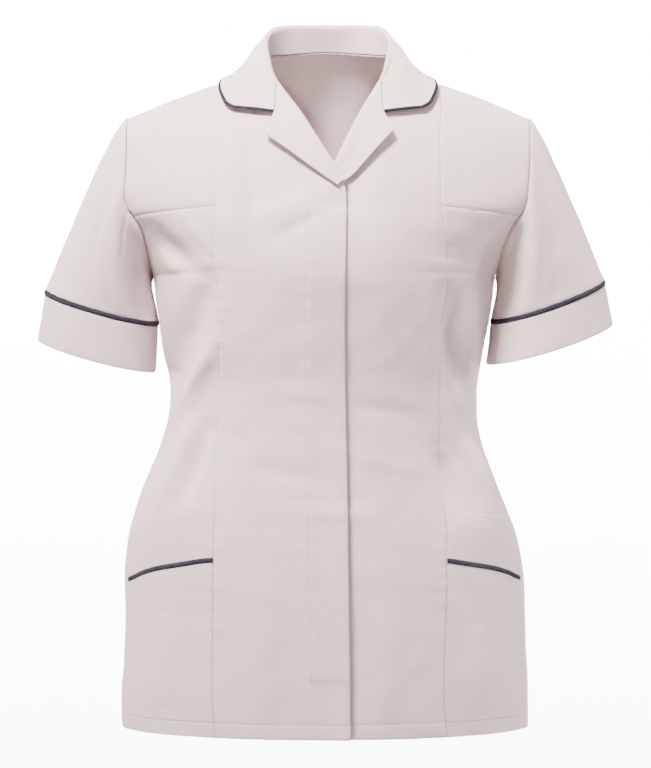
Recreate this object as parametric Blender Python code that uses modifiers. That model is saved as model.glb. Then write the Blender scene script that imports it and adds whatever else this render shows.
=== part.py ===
"""A short-sleeved work tunic, filled out and hollow as a wearer would fill it.

The frame's origin is where the wearer's shoulders carry the tunic: at the middle of the neck, below
the line between the two shoulder seams. +X is the wearer's left, -Y is in front and +Z is up.
Every piece of cloth is a sheet of its own with a wall, cut along the real seams. The body's pieces
are all read from one form, which SHOULDER, TRUNK and the fold tables describe.
"""

import math
from collections import namedtuple

import bmesh
import bpy
import numpy as np

# Cloth and seams
WALL = 0.0012
PIPING_WALL = 0.0016
SEAM_GAP = 0.0003
PIPING_WIDTH = 0.0035
SLEEVE_SEAM_GAP = 0.0006
SLEEVE_UNDER_GAP = 0.0018

# Neck and shoulder
NECK_HALF = 0.070
NECK_ROUND = 0.6
NECK_RISE = 0.018
NECK_RISE_START = 0.105
NECK_RISE_WIDTH = 0.045
SHOULDER_SLOPE = 1.6
COLLAR_SHIFT = 0.0025
GORGE_Z = -0.020

# Levels are lengths down the armhole and then the side seam, from the shoulder point
BUST_LEVEL = 0.1317
UNDERARM_LEVEL = 0.2184
UNDERARM_Z = -0.215
HEM_Z = -0.686
HEM_LEVEL = UNDERARM_LEVEL + UNDERARM_Z - HEM_Z

# How finely the sheets are divided
YOKE_LEVELS = (0.0, 0.0131, 0.030, 0.0557, 0.0839, 0.1092, 0.1248, BUST_LEVEL)
ARMHOLE_ROWS = 4
SKIRT_ROWS = 14
SIDE_COLUMNS = 5
SHOULDER_COLUMNS = 3
FRONT_COLUMNS = 9
NECK_COLUMNS = 8

# Where the back's denser columns lie: beside the neck and in line with the fronts' princess seams
BACK_NECK_X = 0.073
BACK_PRINCESS_X = 0.122
BACK_NECK_SHARE = 0.24
BACK_PRINCESS_SHARE = 0.42

# Small steps for slopes, steps of the searches, and how near the sides slopes are taken
STEP = 0.001
SEARCH_STEPS = 40
SEAM_STEPS = 12
SLOPE_REACH = 0.985
FOLD_FADE = 0.03

SIDES = {"right": -1.0, "left": 1.0}
RIGHT_ANGLE = math.pi / 2

# One row for each cross section of the shoulders: where its ends lie on the armhole, and how deep
# it is in the middle of the front and back. corner is the share of the neck and shoulder corner.
Shoulder = namedtuple(
    "Shoulder", "level end_z half shift end_front end_back mid_z front back corner fullness"
)
SHOULDER = (
    Shoulder(0.0000, -0.0505, 0.2085, 0.003, 0.000, 0.000, 0.0090, -0.030, 0.065, 1.00, 2.00),
    Shoulder(0.0131, -0.0520, 0.2090, 0.003, -0.013, 0.013, 0.0055, -0.036, 0.072, 0.75, 2.00),
    Shoulder(0.0299, -0.0595, 0.2090, 0.003, -0.028, 0.029, -0.0017, -0.046, 0.081, 0.45, 2.00),
    Shoulder(0.0557, -0.0810, 0.2085, 0.003, -0.043, 0.046, -0.0280, -0.067, 0.095, 0.15, 2.00),
    Shoulder(0.0839, -0.1085, 0.2080, 0.002, -0.051, 0.055, -0.0630, -0.088, 0.105, 0.00, 1.90),
    Shoulder(0.1092, -0.1340, 0.2075, 0.001, -0.055, 0.058, -0.1000, -0.105, 0.111, 0.00, 1.80),
    Shoulder(0.1248, -0.1480, 0.2035, 0.001, -0.055, 0.056, -0.1280, -0.115, 0.114, 0.00, 1.70),
    Shoulder(0.1317, -0.1546, 0.1985, 0.001, -0.054, 0.054, -0.1423, -0.119, 0.115, 0.00, 1.65),
    Shoulder(0.1545, -0.1730, 0.1880, 0.000, -0.046, 0.046, -0.1630, -0.127, 0.116, 0.00, 1.50),
    Shoulder(0.1814, -0.1950, 0.1820, -0.001, -0.026, 0.027, -0.1890, -0.133, 0.116, 0.00, 1.35),
    Shoulder(0.2057, -0.2110, 0.1790, -0.001, -0.007, 0.008, -0.2090, -0.135, 0.115, 0.00, 1.15),
    Shoulder(0.2184, -0.2150, 0.1780, -0.001, 0.000, 0.000, -0.2190, -0.135, 0.114, 0.00, 1.10),
)

# One row for each level cross section below the arms
Trunk = namedtuple("Trunk", "z half shift front back fullness")
TRUNK = (
    Trunk(-0.245, 0.1745, -0.0015, -0.132, 0.112, 1.05),
    Trunk(-0.290, 0.1670, -0.0025, -0.126, 0.108, 1.00),
    Trunk(-0.335, 0.1595, -0.0020, -0.120, 0.104, 1.00),
    Trunk(-0.360, 0.1605, -0.0030, -0.119, 0.104, 1.00),
    Trunk(-0.389, 0.1670, -0.0045, -0.119, 0.107, 1.00),
    Trunk(-0.440, 0.1865, -0.0050, -0.122, 0.118, 1.00),
    Trunk(-0.490, 0.2030, -0.0030, -0.126, 0.126, 1.00),
    Trunk(-0.528, 0.2080, -0.0015, -0.128, 0.129, 1.00),
    Trunk(-0.590, 0.2090, 0.0000, -0.129, 0.130, 1.00),
    Trunk(-0.660, 0.2120, -0.0005, -0.130, 0.131, 1.00),
    Trunk(HEM_Z, 0.2115, -0.0005, -0.130, 0.131, 1.00),
)

# Seams that run down the front, by height: x on the wearer's right and left
Seam = namedtuple("Seam", "z right left")
PRINCESS = (
    Seam(0.000, -0.1240, 0.1200),
    Seam(-0.045, -0.1220, 0.1195),
    Seam(-0.085, -0.1185, 0.1170),
    Seam(-0.147, -0.1120, 0.1175),
    Seam(-0.200, -0.1140, 0.1235),
    Seam(-0.235, -0.1115, 0.1235),
    Seam(-0.288, -0.1072, 0.1190),
    Seam(-0.335, -0.1078, 0.1164),
    Seam(-0.388, -0.1103, 0.1170),
    Seam(-0.436, -0.1112, 0.1210),
    Seam(-0.476, -0.1131, 0.1232),
    Seam(-0.560, -0.1140, 0.1225),
    Seam(-0.640, -0.1140, 0.1200),
    Seam(HEM_Z, -0.1120, 0.1232),
)
# The neck seam, the lapel's roll line and then the edge of each front; the right front laps over
FRONT_EDGE = (
    Seam(0.0150, -0.0670, 0.0730),
    Seam(GORGE_Z, -0.0500, 0.0560),
    Seam(-0.0535, -0.0266, 0.0368),
    Seam(-0.0784, -0.0113, 0.0239),
    Seam(-0.1086, 0.0073, 0.0090),
    Seam(-0.1275, 0.0190, -0.0010),
    Seam(-0.1400, 0.0207, -0.0110),
    Seam(-0.2600, 0.0187, -0.0135),
    Seam(-0.4500, 0.0212, -0.0115),
    Seam(HEM_Z, 0.0245, -0.0085),
)

# How far past the front's quarter circle the side seam lies, by level, in radians
SideSeam = namedtuple("SideSeam", "level forward")
SIDE_SEAM = (
    SideSeam(0.0, 0.0),
    SideSeam(UNDERARM_LEVEL, 0.0),
    SideSeam(0.340, 0.10),
    SideSeam(0.480, 0.26),
    SideSeam(HEM_LEVEL, 0.26),
)

# The under front lies this deep under the lapping one, over this stretch beside it, and deeper
# where its lapel goes under too
OVERLAP_DEPTH = 0.0030
OVERLAP_FLAT = 0.026
OVERLAP_END = 0.060
OVERLAP_TOP_Z = -0.050
OVERLAP_FULL_Z = -0.100
UNDER_LAPEL_DEPTH = 0.0038
UNDER_LAPEL_Z = -0.118
UNDER_LAPEL_REACH = 0.030

# Folds in the cloth, each a soft ridge or trough between two points of the front view
Fold = namedtuple("Fold", "x0 z0 x1 z1 width height")
FRONT_FOLDS = (
    Fold(-0.178, -0.168, -0.138, -0.207, 0.010, -0.0035),
    Fold(-0.145, -0.235, -0.128, -0.325, 0.016, -0.0060),
    Fold(-0.108, -0.275, -0.138, -0.340, 0.009, 0.0030),
    Fold(-0.113, -0.385, -0.142, -0.452, 0.013, -0.0045),
    Fold(-0.128, -0.368, -0.172, -0.460, 0.010, 0.0035),
    Fold(-0.098, -0.060, -0.088, -0.185, 0.012, 0.0020),
    Fold(-0.066, -0.160, 0.004, -0.135, 0.012, 0.0020),
    Fold(0.127, -0.240, 0.131, -0.330, 0.012, -0.0055),
    Fold(0.150, -0.245, 0.147, -0.330, 0.010, 0.0035),
    Fold(0.116, -0.395, 0.136, -0.455, 0.013, -0.0045),
    Fold(0.150, -0.400, 0.176, -0.465, 0.012, 0.0030),
    Fold(-0.080, -0.392, 0.085, -0.400, 0.012, 0.0018),
)
BACK_FOLDS = (
    Fold(-0.170, -0.170, -0.125, -0.235, 0.014, -0.0045),
    Fold(0.172, -0.165, 0.120, -0.225, 0.013, -0.0040),
    Fold(-0.060, -0.290, -0.046, -0.420, 0.016, 0.0045),
    Fold(0.052, -0.300, 0.064, -0.435, 0.015, 0.0040),
    Fold(-0.010, -0.350, 0.006, -0.430, 0.018, -0.0040),
    Fold(-0.125, -0.330, -0.080, -0.370, 0.012, -0.0040),
    Fold(0.130, -0.335, 0.090, -0.372, 0.012, -0.0035),
    Fold(-0.120, -0.520, -0.132, -0.670, 0.018, -0.0035),
    Fold(0.110, -0.540, 0.126, -0.675, 0.018, -0.0035),
)

# Lapels: each row runs from the roll line at roll_z through a middle point to the outer edge; the
# first row is the gorge seam, as far as its middle point, and then the notch's lower side
LapelRow = namedtuple("LapelRow", "roll_z mid_x mid_z edge_x edge_z")
LAPELS = {
    "right": (
        LapelRow(GORGE_Z, -0.0515, -0.0505, -0.0611, -0.0768),
        LapelRow(-0.0500, -0.0330, -0.0720, -0.0368, -0.0942),
        LapelRow(-0.0880, -0.0090, -0.0998, -0.0125, -0.1116),
        LapelRow(-0.1235, 0.0140, -0.1260, 0.0118, -0.1290),
    ),
    "left": (
        LapelRow(GORGE_Z, 0.0580, -0.0505, 0.0682, -0.0730),
        LapelRow(-0.0470, 0.0446, -0.0703, 0.0490, -0.0936),
        LapelRow(-0.0800, 0.0264, -0.0971, 0.0297, -0.1142),
        LapelRow(-0.1120, 0.0100, -0.1195, 0.0130, -0.1270),
    ),
}
LAPEL_ROWS_EACH = 3
LAPEL_SHARES = (0.25, 0.5, 0.75, 1.0)
GORGE_SHARES = (0.125, 0.25, 0.375, 0.5)
LAPEL_ROLL_LIFT = 0.0040
LAPEL_EDGE_LIFT = 0.0030
GORGE_GAP = 0.0007

# The turn of a lapel or a collar's end at the roll line, on the inside of its fold: inward is from
# the roll line toward the front it lies on, and lift is out of that front's inner face
Turn = namedtuple("Turn", "inward lift")
TURN = (
    Turn(-0.0005, WALL),
    Turn(-0.0014, WALL + 0.0002),
    Turn(-0.0019, WALL + 0.0010),
    Turn(-0.0014, WALL + 0.0019),
    Turn(0.0010, WALL + 0.0025),
)

# Half of the collar: t is 0 at the middle of the back and 1 at the gorge; the outer edge's height
# is over the body's face that it lies on
CollarRow = namedtuple(
    "CollarRow", "t fold_x fold_y fold_z mid_x mid_y mid_z edge_face edge_x edge_z edge_lift"
)
SHOULDER_T = 0.6
COLLAR = (
    CollarRow(0.00, 0.0000, 0.0610, 0.0555, 0.0000, 0.0830, 0.0330, "back", 0.0000, 0.0040, 0.0045),
    CollarRow(0.15, 0.0330, 0.0580, 0.0550, 0.0375, 0.0770, 0.0310, "back", 0.0380, 0.0010, 0.0045),
    CollarRow(0.30, 0.0560, 0.0410, 0.0510, 0.0645, 0.0530, 0.0250, "back", 0.0715, -0.008, 0.0045),
    CollarRow(0.45, 0.0645, 0.0230, 0.0415, 0.0780, 0.0290, 0.0180, "back", 0.0960, -0.013, 0.0040),
    CollarRow(0.60, 0.0655, 0.0000, 0.0320, 0.0805, 0.0000, 0.0165, "back", 0.1045, -0.0105, 0.0035),
    CollarRow(0.70, 0.0648, -0.023, 0.0225, 0.0830, -0.019, 0.0115, "front", 0.1085, -0.0155, 0.0035),
    CollarRow(0.80, 0.0633, -0.0395, 0.0120, 0.0855, -0.035, 0.0030, "front", 0.109, -0.0240, 0.0040),
    CollarRow(0.92, 0.0592, -0.0524, -0.0048, 0.0780, -0.0540, -0.0155, "front", 0.105, -0.0385, 0.0035),
    CollarRow(1.00, 0.0, 0.0, 0.0, 0.0, 0.0, 0.0, "front", 0.0965, -0.0485, 0.0035),
)
COLLAR_FOLD_RADIUS = 0.0028
COLLAR_FOLD_SHARE = 0.3
COLLAR_BOW = 0.0025
STAND_GAP = 0.0010
COLLAR_ROWS = 40
COLLAR_EDGE_SHARES = (0.36, 0.70)
COLLAR_CLEARANCE = 0.0028
PIPING_END = 0.0026

# Sleeves: the ring where the piping goes and the ring of the cuff's hem, in the front view
Ring = namedtuple("Ring", "outer_x outer_z inner_x inner_z front_drop")
CUFFS = {
    "right": (
        Ring(-0.2925, -0.2293, -0.1765, -0.2620, 0.0070),
        Ring(-0.3010, -0.2800, -0.1790, -0.3160, 0.0105),
    ),
    "left": (
        Ring(0.2915, -0.2190, 0.1755, -0.2600, 0.0080),
        Ring(0.3010, -0.2660, 0.1700, -0.3060, 0.0105),
    ),
}
CUFF_HALF_DEPTH = 0.046
CUFF_ROWS = 3
SLEEVE_ROWS = 8
SLEEVE_HEAD_REACH = {"right": 0.080, "left": 0.055}
SLEEVE_UNDER_REACH = 0.030
SLEEVE_END_REACH = 0.100
SLEEVE_UNDER_END_REACH = 0.040
SLEEVE_LEAVE_OUT = 0.8
SLEEVE_LEAVE_DOWN = 0.6
SLEEVE_LEAVE_APART = 0.25
SLEEVE_LEAVE_TURN = 0.2
SLEEVE_CUFF_SHARE = 0.35

# Folds of the sleeves: around is 0 over the shoulder, 0.25 in front and 0.5 under the arm;
# down is 0 at the armhole and 1 at the piping
SleeveFold = namedtuple("SleeveFold", "around0 down0 around1 down1 width height")
SLEEVE_FOLD_STRETCH = 0.35
SLEEVE_FOLDS = (
    SleeveFold(0.24, 0.10, 0.32, 0.95, 0.040, 0.0030),
    SleeveFold(0.36, 0.25, 0.40, 0.95, 0.045, -0.0060),
    SleeveFold(0.14, 0.05, 0.20, 0.55, 0.035, -0.0025),
    SleeveFold(0.64, 0.15, 0.60, 0.90, 0.050, -0.0050),
    SleeveFold(0.78, 0.10, 0.72, 0.70, 0.040, 0.0030),
)

# Hip pockets, by distance from the middle of the body: the open top and the piped seam below it
PocketRow = namedtuple("PocketRow", "x top_z piping_z")
POCKET = (
    PocketRow(0.100, -0.4550, -0.5040),
    PocketRow(0.120, -0.4550, -0.5055),
    PocketRow(0.148, -0.4600, -0.5105),
    PocketRow(0.170, -0.4650, -0.5150),
    PocketRow(0.185, -0.4710, -0.5200),
    PocketRow(0.198, -0.4790, -0.5270),
    PocketRow(0.210, -0.4860, -0.5330),
)
POCKET_LEVEL = HEM_LEVEL - 0.2
POCKET_LIFT = 0.0010
POCKET_MOUTH = 0.0035
POCKET_BAG_ROWS = 6
POCKET_BAND_ROWS = 3
POCKET_HEM_STEP = 0.001

CLOTH_COLOUR = (0.72, 0.65, 0.64, 1.0)
PIPING_COLOUR = (0.020, 0.022, 0.050, 1.0)


class Curve:
    """Smooth curves through the columns of a table, all read by its first column."""

    def __init__(self, rows):
        table = np.array(sorted(tuple(row) for row in rows), float)
        self.keys = table[:, 0]
        self.values = table[:, 1:]
        slopes = np.diff(self.values, axis=0) / np.diff(self.keys)[:, None]
        product = slopes[1:] * slopes[:-1]
        total = slopes[1:] + slopes[:-1]
        middle = np.where(product > 0, 2 * product / np.where(product > 0, total, 1), 0)
        self.tangents = np.vstack([slopes[:1], middle, slopes[-1:]])

    def at(self, key):
        """Return the table's other columns at a key or an array of keys, last axis first."""
        key = np.clip(np.asarray(key, float), self.keys[0], self.keys[-1])
        i = np.clip(np.searchsorted(self.keys, key, side="right") - 1, 0, len(self.keys) - 2)
        width = (self.keys[i + 1] - self.keys[i])[..., None]
        t = (key - self.keys[i])[..., None] / width
        value = (
            (1 + 2 * t) * (1 - t) ** 2 * self.values[i]
            + t**2 * (3 - 2 * t) * self.values[i + 1]
            + t * (1 - t) ** 2 * width * self.tangents[i]
            - t**2 * (1 - t) * width * self.tangents[i + 1]
        )
        return np.moveaxis(value, -1, 0)


def body_sections():
    """Return the shoulder sections and the level sections below the arms as one table."""
    rows = list(SHOULDER)
    for row in TRUNK:
        level = UNDERARM_LEVEL + UNDERARM_Z - row.z
        rows.append(
            Shoulder(
                level, row.z, row.half, row.shift, 0.0, 0.0, row.z, row.front, row.back, 0.0, row.fullness
            )
        )
    return rows


SECTION = Curve(body_sections())
SEAMS = {"princess": Curve(PRINCESS), "edge": Curve(FRONT_EDGE)}
SIDE_FORWARD = Curve(SIDE_SEAM)
POCKET_LINE = Curve(POCKET)
FOLDS = {"front": FRONT_FOLDS, "back": BACK_FOLDS}
OTHER_FACE = {"front": "back", "back": "front"}
OTHER_SIDE = {"right": "left", "left": "right"}


def mix(a, b, share):
    """Return the value that lies the given share of the way from a to b."""
    return a + (b - a) * share


def smooth_step(value):
    """Return 0 below 0, 1 above 1 and an even rise between."""
    t = np.clip(value, 0.0, 1.0)
    return t * t * (3 - 2 * t)


def unit(vectors):
    """Return vectors at length 1."""
    return vectors / np.linalg.norm(vectors, axis=-1, keepdims=True)


def half_form(face, angle, level):
    """Return points of one face of the body; the angle is 0 at its middle, a quarter at its ends."""
    end_z, half, shift, end_front, end_back, mid_z, front, back, corner, fullness = SECTION.at(level)
    across = np.abs(np.sin(angle))
    neck = np.clip(1 - (half * across / NECK_HALF) ** 2, 0, 1) ** NECK_ROUND
    depth = mix(np.abs(np.cos(angle)) ** fullness, neck, corner)
    x = shift + half * np.sin(angle)
    rise = smooth_step((NECK_RISE_START - half * across) / NECK_RISE_WIDTH)
    z = mix(mid_z, end_z, across**SHOULDER_SLOPE) + NECK_RISE * corner * rise
    y = mix(end_back, back, depth) if face == "back" else mix(end_front, front, depth)
    return np.stack([x, y, z], axis=-1)


def form(face, angle, level):
    """Return points of the body, where an angle past a quarter circle goes on to the other face."""
    angle, level = np.broadcast_arrays(np.asarray(angle, float), np.asarray(level, float))
    near = half_form(face, angle, level)
    far = half_form(OTHER_FACE[face], np.sign(angle) * math.pi - angle, level)
    return np.where((np.abs(angle) > RIGHT_ANGLE)[..., None], far, near)


def outward(face, angle, level):
    """Return unit vectors that point out of the body's form."""
    angle = np.asarray(angle, float) * SLOPE_REACH
    low = np.clip(np.asarray(level, float), STEP, HEM_LEVEL - STEP)
    along = form(face, angle + STEP, low) - form(face, angle - STEP, low)
    down = form(face, angle, low + STEP) - form(face, angle, low - STEP)
    turn = -1.0 if face == "back" else 1.0
    return unit(turn * np.cross(down, along))


def fold_height(face, point):
    """Return how far the folds of a face move its points out or in."""
    height = np.zeros(point.shape[:-1])
    place = point[..., [0, 2]]
    for fold in FOLDS[face]:
        start = np.array([fold.x0, fold.z0])
        run = np.array([fold.x1, fold.z1]) - start
        share = np.clip((place - start) @ run / (run @ run), 0, 1)
        away = np.linalg.norm(place - start - share[..., None] * run, axis=-1)
        height = height + fold.height * np.exp(-((away / fold.width) ** 2))
    return height


def skin(face, angle, level, lift=0.0):
    """Return points of the body's cloth, folds and all, lifted out of it by a height."""
    point = form(face, angle, level)
    on_front = point[..., 1] < 0
    height = np.where(on_front, fold_height("front", point), fold_height("back", point))
    height = height * smooth_step(np.abs(point[..., 1]) / FOLD_FADE)
    return point + outward(face, angle, level) * (height + lift)[..., None]


def stride(face, angle, level):
    """Return the length across the body for each radian of angle."""
    there = form(face, np.asarray(angle) * SLOPE_REACH + STEP, level)
    here = form(face, np.asarray(angle) * SLOPE_REACH - STEP, level)
    return np.linalg.norm(there - here, axis=-1) / (2 * STEP)


def angle_at(level, x):
    """Return the angle of a distance across the body at a level."""
    half, shift = SECTION.at(level)[[1, 2]]
    return np.arcsin(np.clip((x - shift) / half, -1, 1))


def seam_angle(name, side, level):
    """Return the angle of a front seam of one side at each level."""
    column = 0 if side == "right" else 1
    level = np.asarray(level, float)
    z = SECTION.at(level)[5]
    for _ in range(SEAM_STEPS):
        angle = angle_at(level, SEAMS[name].at(z)[column])
        z = form("front", angle, level)[..., 2]
    return angle


def locate(face, x, z):
    """Return the angle and level of the point of a face at a place in the front view."""
    low = np.zeros(np.broadcast(x, z).shape)
    high = np.full_like(low, HEM_LEVEL)
    for _ in range(SEARCH_STEPS):
        level = (low + high) / 2
        above = form(face, angle_at(level, x), level)[..., 2] > z
        low = np.where(above, level, low)
        high = np.where(above, high, level)
    return angle_at(level, x), level


def on_body(face, x, z, lift):
    """Return the lifted point of a face's cloth at a place in the front view."""
    angle, level = locate(face, np.asarray(x, float), np.asarray(z, float))
    return skin(face, angle, level, np.asarray(lift, float))


def side_angle(side, level):
    """Return the angle, on the front, of the seam that joins it to the back."""
    return SIDES[side] * (RIGHT_ANGLE - SIDE_FORWARD.at(level)[0])


def spread(start, end, count, level):
    """Return angles from start to end: evenly across at the shoulder, evenly around lower down."""
    share = np.linspace(0, 1, count + 1)
    start, end, level = np.asarray(start)[:, None], np.asarray(end)[:, None], level[:, None]
    across = np.arcsin(np.clip(mix(np.sin(start), np.sin(end), share), -1, 1))
    around = mix(start, end, share)
    return mix(across, around, smooth_step(level / BUST_LEVEL))


def armhole_levels():
    """Return the levels from the bust seam to the underarm."""
    return np.linspace(BUST_LEVEL, UNDERARM_LEVEL, ARMHOLE_ROWS + 1)


def side_levels():
    """Return the levels from the bust seam to the hem."""
    skirt = np.linspace(UNDERARM_LEVEL, HEM_LEVEL, SKIRT_ROWS + 1)
    return np.concatenate([armhole_levels(), skirt[1:]])


def body_levels():
    """Return the levels from the shoulder seam to the hem."""
    return np.concatenate([YOKE_LEVELS, side_levels()[1:]])


def trimmed(levels):
    """Return levels whose first and last rows are drawn in by half of a seam's gap."""
    levels = np.array(levels, float)
    levels[0] += SEAM_GAP / 2
    levels[-1] -= SEAM_GAP / 2
    return levels


def drawn_in(face, angle, level, toward):
    """Return angles moved half of a seam's gap toward a direction, 1 or -1."""
    return angle + toward * SEAM_GAP / 2 / stride(face, angle, level)


def material(name, colour, roughness):
    """Make a Principled material."""
    made = bpy.data.materials.new(name)
    made.use_nodes = True
    shader = made.node_tree.nodes["Principled BSDF"]
    shader.inputs["Base Color"].default_value = colour
    shader.inputs["Roughness"].default_value = roughness
    shader.inputs["Metallic"].default_value = 0.0
    return made


def cloth(name, grid, collection, colour=CLOTH_COLOUR, wall=WALL, closed=False, side=1.0):
    """Make one piece: an open sheet through rows of points, with a wall on one side of it.

    The sheet faces the way of a cross product: from row to row, times along a row. side is 1 where
    the wall grows that way and -1 where it grows the other way.
    """
    sheet = bmesh.new()
    rows = [[sheet.verts.new(point) for point in row] for row in np.asarray(grid)]
    count = len(rows[0])
    for upper, lower in zip(rows, rows[1:]):
        for i in range(count if closed else count - 1):
            j = (i + 1) % count
            sheet.faces.new((upper[i], lower[i], lower[j], upper[j]))
    mesh = bpy.data.meshes.new(name)
    sheet.to_mesh(mesh)
    sheet.free()
    mesh.shade_smooth()
    mesh.materials.append(material(name, colour, 0.85))
    piece = bpy.data.objects.new(name, mesh)
    collection.objects.link(piece)
    solid = piece.modifiers.new("Wall", "SOLIDIFY")
    solid.thickness = wall
    solid.offset = side
    solid.use_even_offset = True
    solid.use_quality_normals = True
    return piece


def mirrored_rows(grid, side):
    """Return rows that run from the middle outward, turned round on the wearer's right."""
    return grid if side == "left" else grid[:, ::-1]


def back_panel(collection):
    """Make the back, which reaches round to both side seams."""
    levels = trimmed(body_levels())
    side = RIGHT_ANGLE + SIDE_FORWARD.at(levels)[0]
    side = side - SEAM_GAP / 2 / stride("back", side, levels)
    around = smooth_step(levels / BUST_LEVEL)
    princess = mix(angle_at(levels, BACK_PRINCESS_X), side * BACK_PRINCESS_SHARE, around)
    neck = mix(angle_at(levels, BACK_NECK_X), side * BACK_NECK_SHARE, around)
    half = [
        spread(np.zeros_like(side), neck, NECK_COLUMNS // 2, levels)[:, :-1],
        spread(neck, princess, SHOULDER_COLUMNS, levels)[:, :-1],
        spread(princess, side, SIDE_COLUMNS, levels),
    ]
    half = np.concatenate(half, axis=1)
    angles = np.concatenate([half[:, ::-1], -half[:, 1:]], axis=1)
    cloth("back", skin("back", angles, levels[:, None]), collection)


def lap_depth(side, x, z):
    """Return how deep a front lies, at places in the front view, to pass under the other one."""
    if side == "right":
        return np.zeros(np.shape(x))
    across = smooth_step((OVERLAP_END - x) / (OVERLAP_END - OVERLAP_FLAT))
    down = smooth_step((OVERLAP_TOP_Z - z) / (OVERLAP_TOP_Z - OVERLAP_FULL_Z))
    lapel_share = np.exp(-(((z - UNDER_LAPEL_Z) / UNDER_LAPEL_REACH) ** 2))
    return across * (OVERLAP_DEPTH * down + UNDER_LAPEL_DEPTH * lapel_share)


def front_panel(side, collection):
    """Make a front, from its princess seam to its roll line and edge."""
    levels = trimmed(body_levels())
    sign = SIDES[side]
    seam = drawn_in("front", seam_angle("princess", side, levels), levels, -sign)
    edge = drawn_in("front", seam_angle("edge", side, levels), levels, sign)
    angles = spread(edge, seam, FRONT_COLUMNS, levels)
    points = form("front", angles, levels[:, None])
    grid = skin("front", angles, levels[:, None], -lap_depth(side, points[..., 0], points[..., 2]))
    cloth(f"front_{side}", mirrored_rows(grid, side), collection)


def side_grid(side, levels, lift=0.0, columns=SIDE_COLUMNS):
    """Return the points of the strip between the princess seam and the armhole or side seam."""
    sign = SIDES[side]
    seam = drawn_in("front", seam_angle("princess", side, levels), levels, sign)
    outer = drawn_in("front", side_angle(side, levels), levels, -sign)
    angles = spread(seam, outer, columns, levels)
    return mirrored_rows(skin("front", angles, levels[:, None], lift), side)


def yoke(side, collection):
    """Make the upper side front, between the shoulder, the armhole and the bust seam."""
    cloth(f"yoke_{side}", side_grid(side, trimmed(YOKE_LEVELS)), collection)


def side_front(side, collection):
    """Make the lower side front, from the bust seam to the hem."""
    cloth(f"side_front_{side}", side_grid(side, trimmed(side_levels())), collection)


def pocket_grid(side, top_share, bottom_share, rows, lift):
    """Return a pocket's points between two lines, each a share of the way down from its top.

    Share 0 is the open top, 1 is the piped seam and 2 is the hem.
    """
    sign = SIDES[side]
    share = np.linspace(0, 1, SIDE_COLUMNS + 1)
    grid = []
    for down in np.linspace(top_share, bottom_share, rows + 1):
        level = np.full(SIDE_COLUMNS + 1, POCKET_LEVEL)
        for _ in range(SEAM_STEPS):
            seam = drawn_in("front", seam_angle("princess", side, level), level, sign)
            outer = drawn_in("front", side_angle(side, level), level, -sign)
            angle = mix(seam, outer, share)
            across = np.abs(form("front", angle, level)[..., 0])
            top, piping = POCKET_LINE.at(across)
            hem = HEM_Z + POCKET_HEM_STEP
            z = mix(top, piping, down) if down <= 1 else mix(piping, hem, down - 1)
            level = UNDERARM_LEVEL + UNDERARM_Z - z
        mouth = POCKET_MOUTH * np.sin(math.pi * share) * np.clip(1 - down, 0, 1)
        grid.append(skin("front", angle, level, lift + mouth))
    return mirrored_rows(np.array(grid), side)


def pocket(side, collection):
    """Make a hip pocket: its top band, the piping below the band and the bag down to the hem."""
    lift = WALL + POCKET_LIFT
    band_height = abs(POCKET[1].piping_z - POCKET[1].top_z)
    bag_height = abs(HEM_Z - POCKET[1].piping_z)
    piping_end = 1 + PIPING_WIDTH / bag_height
    band = pocket_grid(side, 0.0, 1 - SEAM_GAP / band_height, POCKET_BAND_ROWS, lift)
    piping = pocket_grid(side, 1.0, piping_end, 1, lift)
    bag = pocket_grid(side, piping_end + SEAM_GAP / bag_height, 2.0, POCKET_BAG_ROWS, lift)
    cloth(f"pocket_band_{side}", band, collection)
    cloth(f"pocket_piping_{side}", piping, collection, PIPING_COLOUR, PIPING_WALL)
    cloth(f"pocket_{side}", bag, collection)


def roll_point(side, z):
    """Return the place, in the front view, of a front's roll line at a height."""
    column = 0 if side == "right" else 1
    return np.array([SEAMS["edge"].at(z)[column], z])


def lapel_row(side, row, shares, shift=0.0):
    """Return the points of a lapel from its seam at the roll line, round the turn, to its edge.

    shares are the places along the row after the turn. shift moves the whole row, in the front
    view, out of the lapel and toward the collar.
    """
    start = roll_point(side, row.roll_z)
    middle = np.array([row.mid_x, row.mid_z])
    edge = np.array([row.edge_x, row.edge_z])
    along_roll = unit(roll_point(side, row.roll_z + STEP) - roll_point(side, row.roll_z - STEP))
    inward = SIDES[side] * np.array([along_roll[1], -along_roll[0]])
    run = unit(middle - start)
    aside = SIDES[side] * np.array([-run[1], run[0]])
    place = [start + inward * turn.inward for turn in TURN]
    lift = [turn.lift for turn in TURN]
    for share in shares:
        near = mix(start, middle, 2 * share)
        place.append(near if share < 0.5 else mix(middle, edge, 2 * share - 1))
        lift.append(mix(LAPEL_ROLL_LIFT, LAPEL_EDGE_LIFT, share))
    place = np.array(place) + aside * shift
    lift = np.array(lift) - lap_depth(side, place[:, 0], place[:, 1])
    return on_body("front", place[:, 0], place[:, 1], lift)


def lapel(side, collection):
    """Make a lapel, which turns over the front's roll line and lies on the front."""
    table = LAPELS[side]
    grid = []
    for upper, lower in zip(table, table[1:]):
        for step in range(LAPEL_ROWS_EACH):
            row = LapelRow(*mix(np.array(upper), np.array(lower), step / LAPEL_ROWS_EACH))
            grid.append(lapel_row(side, row, LAPEL_SHARES, 0.0 if grid else -GORGE_GAP / 2))
    grid.append(lapel_row(side, table[-1], LAPEL_SHARES))
    cloth(f"lapel_{side}", mirrored_rows(np.array(grid), OTHER_SIDE[side]), collection, side=-1.0)


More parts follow.
